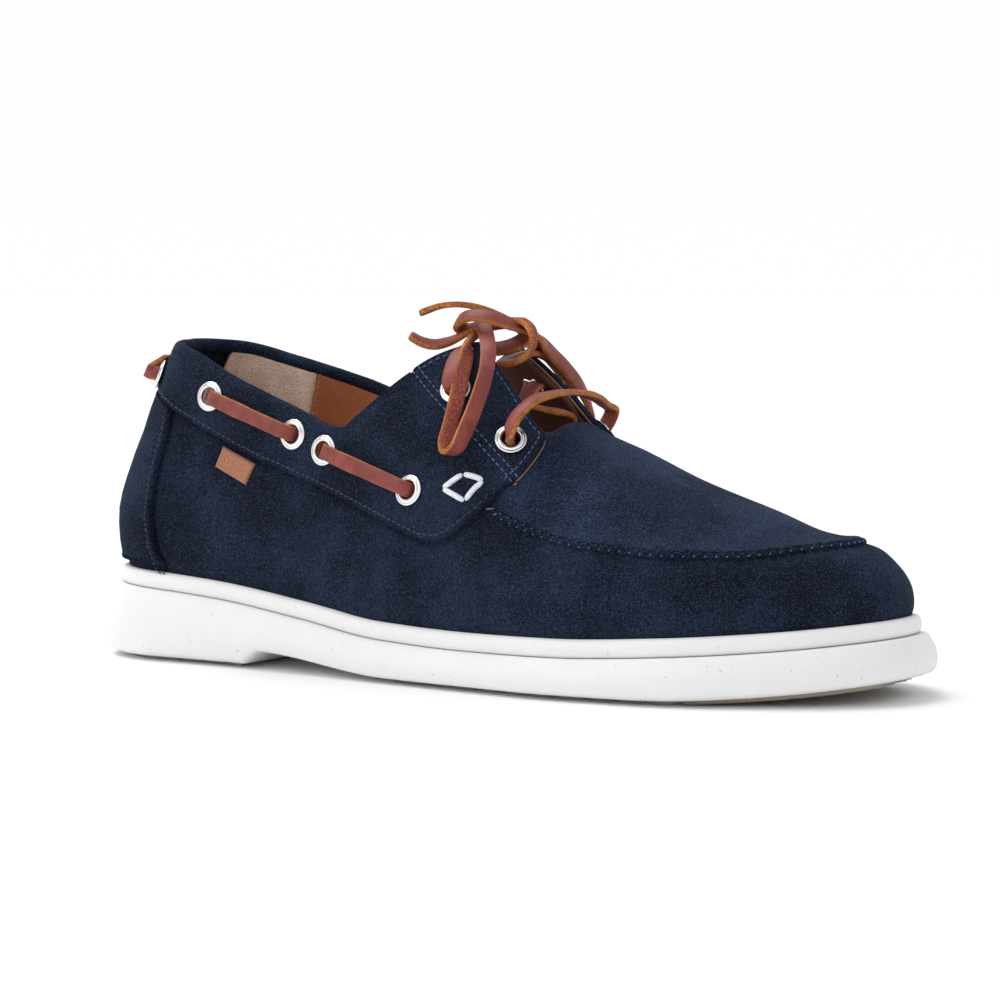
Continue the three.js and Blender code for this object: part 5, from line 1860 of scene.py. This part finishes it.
@dataclass
class Lacing:
    """The lace in the collar, the lace across the throat and the bow."""

    last: Last
    wardrobe: Wardrobe
    overlays: Overlays
    bar_lift: float = 2.55
    bow_a_length: float = 0.2215
    bow_b_length: float = 0.2965

    def _rows(self, points: Sequence[Array], facings: Sequence[Sequence[float]]) -> Array:
        """Points and facings as one table."""
        return np.column_stack([np.array(points, float), np.array(facings, float)])

    def _bar(self, a: Eyelet, b: Eyelet) -> Array:
        """Rows of a bar out of one eyelet, over the collar and into another."""
        along = unit(b.middle - a.middle)
        lift = self.bar_lift
        start = [(-2.6, 0.3), (0.5, 0.5), (lift - 0.55, 2.6), (lift - 0.05, 5.4)]
        points = [a.middle + a.out * o + along * s for o, s in start]
        points += [b.middle + b.out * o - along * s for o, s in start[::-1]]
        middle = unit(a.out + b.out)
        facings = [-along, unit(a.out - along), a.out, a.out, b.out, b.out, unit(b.out + along), along]
        points.insert(4, (points[3] + points[4]) / 2 + middle * 0.35)
        facings.insert(4, middle)
        return self._rows(points, facings)

    def _collar(self, strap: Strap) -> None:
        """The five bars that show round the collar."""
        at = self.overlays.eyelets
        for side in Side:
            w = side.word
            for part, first, second in (("rear", "rear", "rear_front"), ("front", "front_rear", "front")):
                rows = self._bar(at[f"{w}_{first}"], at[f"{w}_{second}"])
                piece, _ = strap.build(f"lace_bar_{w}_{part}", rows)
                place(piece, "lace_leather", f"collar_lace_{w}_{part}")
        a, b = at["lateral_heel"], at["medial_heel"]
        turn = np.array([0.2, 0.1, 0.0, -0.1, -0.2])
        t = self.last.height_at(np.mod(turn, TAU), lambda x: 0 * x + 96.4)
        behind = self.last.at(turn, t, 4.1)
        out = self.last.normal(turn, t)
        points = [
            a.via(-2.4), a.via(1.0), a.via(2.8, -2.6, 0, 0.3), *behind,
            b.via(2.8, -2.6, 0, 0.3), b.via(1.0), b.via(-2.4),
        ]
        lean = np.array([1.0, 0, 0])
        facings = [lean, unit(lean + a.out), a.out, *out, b.out, unit(lean + b.out), lean]
        piece, _ = strap.build("lace_bar_heel", self._rows(points, facings))
        place(piece, "lace_leather", "collar_lace_heel")

    def _throat(self, strap: Strap) -> None:
        """The bar over the throat and the two straps that cross under it."""
        at = self.overlays.eyelets
        low, far = at["lateral_throat_lower"], at["medial_throat_lower"]
        points = [
            low.via(-2.6), low.via(0.6, 0.4, 0, 0.4), (178.8, -39.0, 79.2), (179.8, -36.8, 83.6),
            (181.0, -32.8, 87.0), (181.6, -26, 89.4), (182.0, -16, 90.5), (181.6, -5, 90.6), (180.8, 5, 89.8),
            (179.6, 14, 88.2), (178.0, 22, 86.0), (176.6, 30, 83.2), far.via(1.8, 0.6, 0, 1.2), far.via(-2.6),
        ]
        facings = [
            (-0.3, -0.8, 0.2), (-0.3, -0.8, 0.25), (-0.3, -0.8, 0.3), (-0.25, -0.75, 0.55), (-0.2, -0.6, 0.8),
            (0, -0.35, 0.95), (0, -0.2, 1), (0, 0, 1), (0, 0.2, 1), (0, 0.5, 0.85), (0, 0.85, 0.5),
            (-0.2, 0.8, 0.2), (-0.6, 0.6, 0), (-0.9, 0.2, 0),
        ]
        piece, _ = strap.build("lace_throat_bar", self._rows(points, facings))
        place(piece, "lace_leather", "throat_lace")
        high, other = at["lateral_throat_upper"], at["medial_throat_upper"]
        near_middle = ((169.4, -18, 82.0), (164, -4, 88.4), (158.4, 9, 91.0), (154.6, 20, 91.6))
        far_middle = ((169.0, 16, 81.6), (167.6, 3, 84.4), (161, -9, 87.4), (155.4, -20, 89.6))
        crosses = (
            ("lace_throat_cross_near", low, other, near_middle),
            ("lace_throat_cross_far", far, high, far_middle),
        )
        for name, a, b, middle in crosses:
            points = [
                a.via(-1.4), a.via(-4.6), a.via(-6.4, -0.6), *middle, b.via(-6.4), b.via(-4.4), b.via(-1.4),
            ]
            inside = -a.out
            facings = [
                (1, 0, -0.3), (0.9, 0, -0.4), unit(inside + np.array([0.4, 0, 0.6])),
                (0.25, 0, 1), (0.2, 0, 1), (0.1, 0, 1), (0, 0, 1),
                unit(-b.out + np.array([0, 0, 0.8])), (0, 0, 1), (0, 0, 1),
            ]
            piece, _ = strap.build(name, self._rows(points, facings))
            place(piece, "lace_leather", "throat_lace")

    def _bow(self, strap: Strap) -> None:
        """The two lace ends, each from its eyelet through the knot and its loop to its tip."""
        at = self.overlays.eyelets
        a, b = at["lateral_throat_upper"], at["medial_throat_upper"]
        near = [
            (*a.via(-0.9), 0.9, 0.2, -0.1), (*a.via(1.2), 0.7, -0.4, -0.4),
            (154.3, -34.6, 93.8, 0.2, -0.95, 0),
            (153.0, -30.6, 99.4, 0.1, -0.9, 0.3), (151.8, -24.0, 103.2, 0.1, -0.75, 0.6),
            (151.5, -16.0, 104.5, 0.2, -0.7, 0.7), (153.5, -10.0, 104.0, 0.3, -0.75, 0.6),
            (158.0, -7.5, 104.5, 0.3, -0.75, 0.6), (162.0, -6.0, 106.0, 0.3, -0.7, 0.6),
            (163.5, -1.5, 108.5, 0.6, -0.3, 0.7), (160.5, 3.5, 110.5, 0.6, 0.3, 0.7),
            (156.0, 6.0, 111.5, 0.2, 0.5, 0.85), (151.0, 5.0, 112.0, -0.2, 0.4, 0.9),
            (147.5, 0.5, 111.5, -0.6, 0.3, 0.7), (147.5, -6.5, 109.5, -0.75, 0.4, 0.5),
            (150.5, -15.5, 107.2, -0.7, 0.55, 0.4), (154.0, -24.0, 103.0, -0.65, 0.7, 0.25),
            (156.5, -31.0, 96.5, -0.6, 0.78, 0.1), (157.5, -35.8, 88.5, -0.58, 0.8, 0),
            (157.0, -39.0, 80.5, -0.58, 0.8, 0), (157.0, -41.3, 75.0, -0.55, 0.6, -0.5),
            (158.8, -42.4, 72.6, 0, -0.1, -1), (161.6, -42.2, 74.2, 0.65, -0.5, -0.5),
            (163.6, -40.2, 79.6, 0.72, -0.68, -0.1), (165.0, -36.6, 87.0, 0.72, -0.7, 0),
            (165.0, -31.4, 95.0, 0.7, -0.7, 0.15), (162.4, -24.6, 102.6, 0.6, -0.72, 0.35),
            (157.4, -17.6, 108.6, 0.35, -0.75, 0.55), (153.0, -13.0, 111.6, 0, -0.6, 0.85),
            (148.8, -11.5, 111.0, -0.3, -0.5, 0.8), (145.8, -14.0, 108.4, -0.4, -0.45, 0.8),
            (142.6, -17.5, 106.4, -0.1, -0.5, 0.85), (139.4, -20.5, 105.6, 0.15, -0.45, 0.9),
            (136.0, -23.0, 106.6, 0.35, -0.2, 0.9), (133.2, -25.0, 108.6, 0.45, 0, 0.9),
        ]
        piece, path = strap.build("bow_near", np.array(near))
        self._declare(piece, path, a, self.bow_a_length)
        place(piece, "lace_leather", "bow_strand_lateral", "bow_loop_lateral", "bow_end_lower", "bow_knot")
        far = [
            (*b.via(-0.9), 0.9, -0.2, -0.1), (*b.via(1.2), 0.7, 0.4, -0.4),
            (155.4, 33.4, 94.6, 0, 0.95, -0.2), (156.0, 27.6, 99.0, 0, 0.7, 0.6),
            (156.6, 20.0, 101.4, 0, 0.3, 0.9), (156.6, 12.0, 102.4, 0, 0, 1),
            (154.6, 2.0, 100.6, -0.1, 0.2, 0.95), (157.5, -7.0, 99.5, -0.2, 0, 0.9),
            (163.5, -9.5, 100.0, -0.45, -0.1, 0.85), (168.5, -10.5, 102.5, -0.75, -0.25, 0.55),
            (170.5, -10.5, 106.5, -0.87, -0.3, 0), (169.0, -9.5, 110.8, -0.65, -0.2, -0.65),
            (164.5, -8.0, 113.2, -0.2, 0, -0.95), (158.0, -5.0, 113.0, 0, 0.1, -0.95),
            (145.0, -2.5, 111.0, 0.3, 0.6, -0.7),
            (143.0, -8.0, 110.5, -0.6, 0.4, -0.3), (144.0, -13.0, 112.4, -0.8, -0.4, 0.4),
            (148.0, -16.0, 114.2, -0.4, -0.6, 0.7), (153.0, -17.5, 115.0, 0, -0.62, 0.8),
            (158.0, -16.5, 114.4, 0.2, -0.62, 0.78), (162.5, -13.0, 112.6, 0.4, -0.6, 0.7),
            (164.4, -6.5, 110.8, 0.45, -0.55, 0.7), (162.6, 2.0, 109.0, 0.35, -0.6, 0.7),
            (161.4, 10.0, 106.2, 0.4, -0.65, 0.6), (161.6, 17.0, 102.0, 0.45, -0.65, 0.55),
            (162.6, 23.5, 97.4, 0.5, -0.6, 0.55), (163.6, 29.5, 92.4, 0.55, -0.5, 0.6),
            (164.2, 35.0, 86.2, 0.6, -0.1, 0.6), (164.0, 39.0, 80.0, 0.7, 0.5, 0),
            (161.6, 41.4, 75.8, 0, 0.3, -1), (159.0, 40.8, 78.0, -0.7, -0.3, -0.3),
            (158.4, 37.8, 84.6, -0.6, -0.7, 0), (158.6, 32.2, 93.0, -0.6, -0.6, 0.2),
            (157.6, 17.0, 104.0, -0.2, -0.4, 0.85),
            (155.5, 7.0, 110.0, 0, -0.2, 0.95), (151.5, -1.5, 115.2, 0, -0.2, 0.95),
            (145.5, -9.0, 118.0, 0, -0.1, 0.95), (139.5, -15.0, 118.0, 0.1, 0.2, 0.95),
            (133.9, -20.0, 115.6, 0.3, 0.4, 0.85),
        ]
        piece, path = strap.build("bow_far", np.array(far))
        self._declare(piece, path, b, self.bow_b_length)
        place(piece, "lace_leather", "bow_strand_medial", "bow_loop_medial", "bow_end_upper", "bow_knot")

    def _declare(self, piece: bpy.types.Object, path: Array, eyelet: Eyelet, length: float) -> None:
        """Logs how long a bow lace is along its middle."""
        real = float(lengths(path)[-1])
        LOG.info("%s is %.4f m along its middle", piece.name, real)
        tuple(float(v) for v in self.last.to_frame(eyelet.middle))

    def build(self) -> None:
        """Makes the collar bars, the throat lace and the bow."""
        strap = Strap(self.last, self.wardrobe.lace)
        self._bow(strap)
        self._collar(strap)
        self._throat(strap)


# ------------------------------------------------------------------ the studio
@dataclass
class Studio:
    """Camera, floor, backdrop light and lamps."""

    last: Last
    wardrobe: Wardrobe
    eye: tuple[float, float, float] = (703.8, -907.8, 127.9)
    aim: tuple[float, float, float] = (0.002, 0.0, 0.0565)
    lens: float = 118.0

    def camera(self) -> None:
        """The camera, which frames the one shoe."""
        data = bpy.data.cameras.new("view")
        data.lens, data.sensor_width = self.lens, 36.0
        data.clip_start, data.clip_end = 0.05, 20.0
        eye = Vector(self.last.to_frame(np.array(self.eye)).tolist())
        piece = bpy.data.objects.new("view", data)
        piece.location = eye
        piece.rotation_euler = (Vector(self.aim) - eye).to_track_quat("-Z", "Y").to_euler()
        bpy.context.scene.collection.objects.link(piece)
        bpy.context.scene.camera = piece

    def _lamp(self, name: str, kind: str, place_at: tuple, size: float, power: float) -> None:
        """A soft lamp that faces the shoe; a sun's size is its angle."""
        data = bpy.data.lights.new(name, kind)
        data.energy = power
        if kind == "SUN":
            data.angle = size
        else:
            data.shape, data.size = "SQUARE", size
        lamp = bpy.data.objects.new(name, data)
        lamp.location = place_at
        lamp.rotation_euler = (Vector((0, 0, 0.05)) - Vector(place_at)).to_track_quat("-Z", "Y").to_euler()
        bpy.context.scene.collection.objects.link(lamp)

    def _world(self) -> None:
        """Surroundings that are palest at the horizon."""
        world = bpy.data.worlds.new("studio")
        world.use_nodes = True
        tree = world.node_tree
        back = tree.nodes["Background"]
        coords = tree.nodes.new("ShaderNodeTexCoord")
        split = tree.nodes.new("ShaderNodeSeparateXYZ")
        ramp = tree.nodes.new("ShaderNodeValToRGB")
        stops = (
            (0.0, (1.0, 1.0, 1.0)), (0.16, (0.97, 0.975, 0.985)), (0.5, (0.56, 0.58, 0.61)),
            (1.0, (0.62, 0.64, 0.67)),
        )
        while len(ramp.color_ramp.elements) < len(stops):
            ramp.color_ramp.elements.new(0.5)
        for element, (position, colour) in zip(ramp.color_ramp.elements, stops):
            element.position, element.color = position, (*colour, 1.0)
        tree.links.new(coords.outputs["Generated"], split.inputs[0])
        tree.links.new(split.outputs["Z"], ramp.inputs[0])
        tree.links.new(ramp.outputs[0], back.inputs["Color"])
        bpy.context.scene.world = world

    def build(self) -> None:
        """Sets the floor, the lamps and the pale surroundings."""
        mesh = bpy.data.meshes.new("floor")
        sides = 64
        rim = [(40 * math.cos(TAU * i / sides), 40 * math.sin(TAU * i / sides), 0.0) for i in range(sides)]
        mesh.from_pydata([(0.0, 0.0, 0.0), *rim], [], [(0, 1 + i, 1 + (i + 1) % sides) for i in range(sides)])
        mesh.materials.append(self.wardrobe.floor)
        floor = bpy.data.objects.new("floor", mesh)
        bpy.context.scene.collection.objects.link(floor)
        floor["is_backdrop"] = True
        self._world()
        self._lamp("top_sun", "SUN", (-0.45, 0.12, 1.1), math.radians(48), 1.75)
        self._lamp("front_lamp", "AREA", (-0.5, -1.1, 0.9), 0.7, 4.0)
        bpy.context.scene.view_settings.view_transform = "Standard"


def main() -> None:
    """Builds the shoe and its studio, in order."""
    logging.basicConfig(level=logging.INFO, format="%(message)s")
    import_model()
    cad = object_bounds()
    last = Last()
    wardrobe = Wardrobe()
    stitches = StitchTree()
    studio = Studio(last, wardrobe)
    studio.camera()
    upper = Upper(last, wardrobe, stitches)
    overlays = Overlays(last, wardrobe, stitches, upper)
    Lacing(last, wardrobe, overlays).build()
    Sole(last, wardrobe).build()
    upper.build()
    overlays.build()
    studio.build()
    plain = lambda box: [[float(v) for v in corner] for corner in box]
    {"cad": plain(cad), "visual": plain(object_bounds())}


if __name__ == "__main__":
    main()
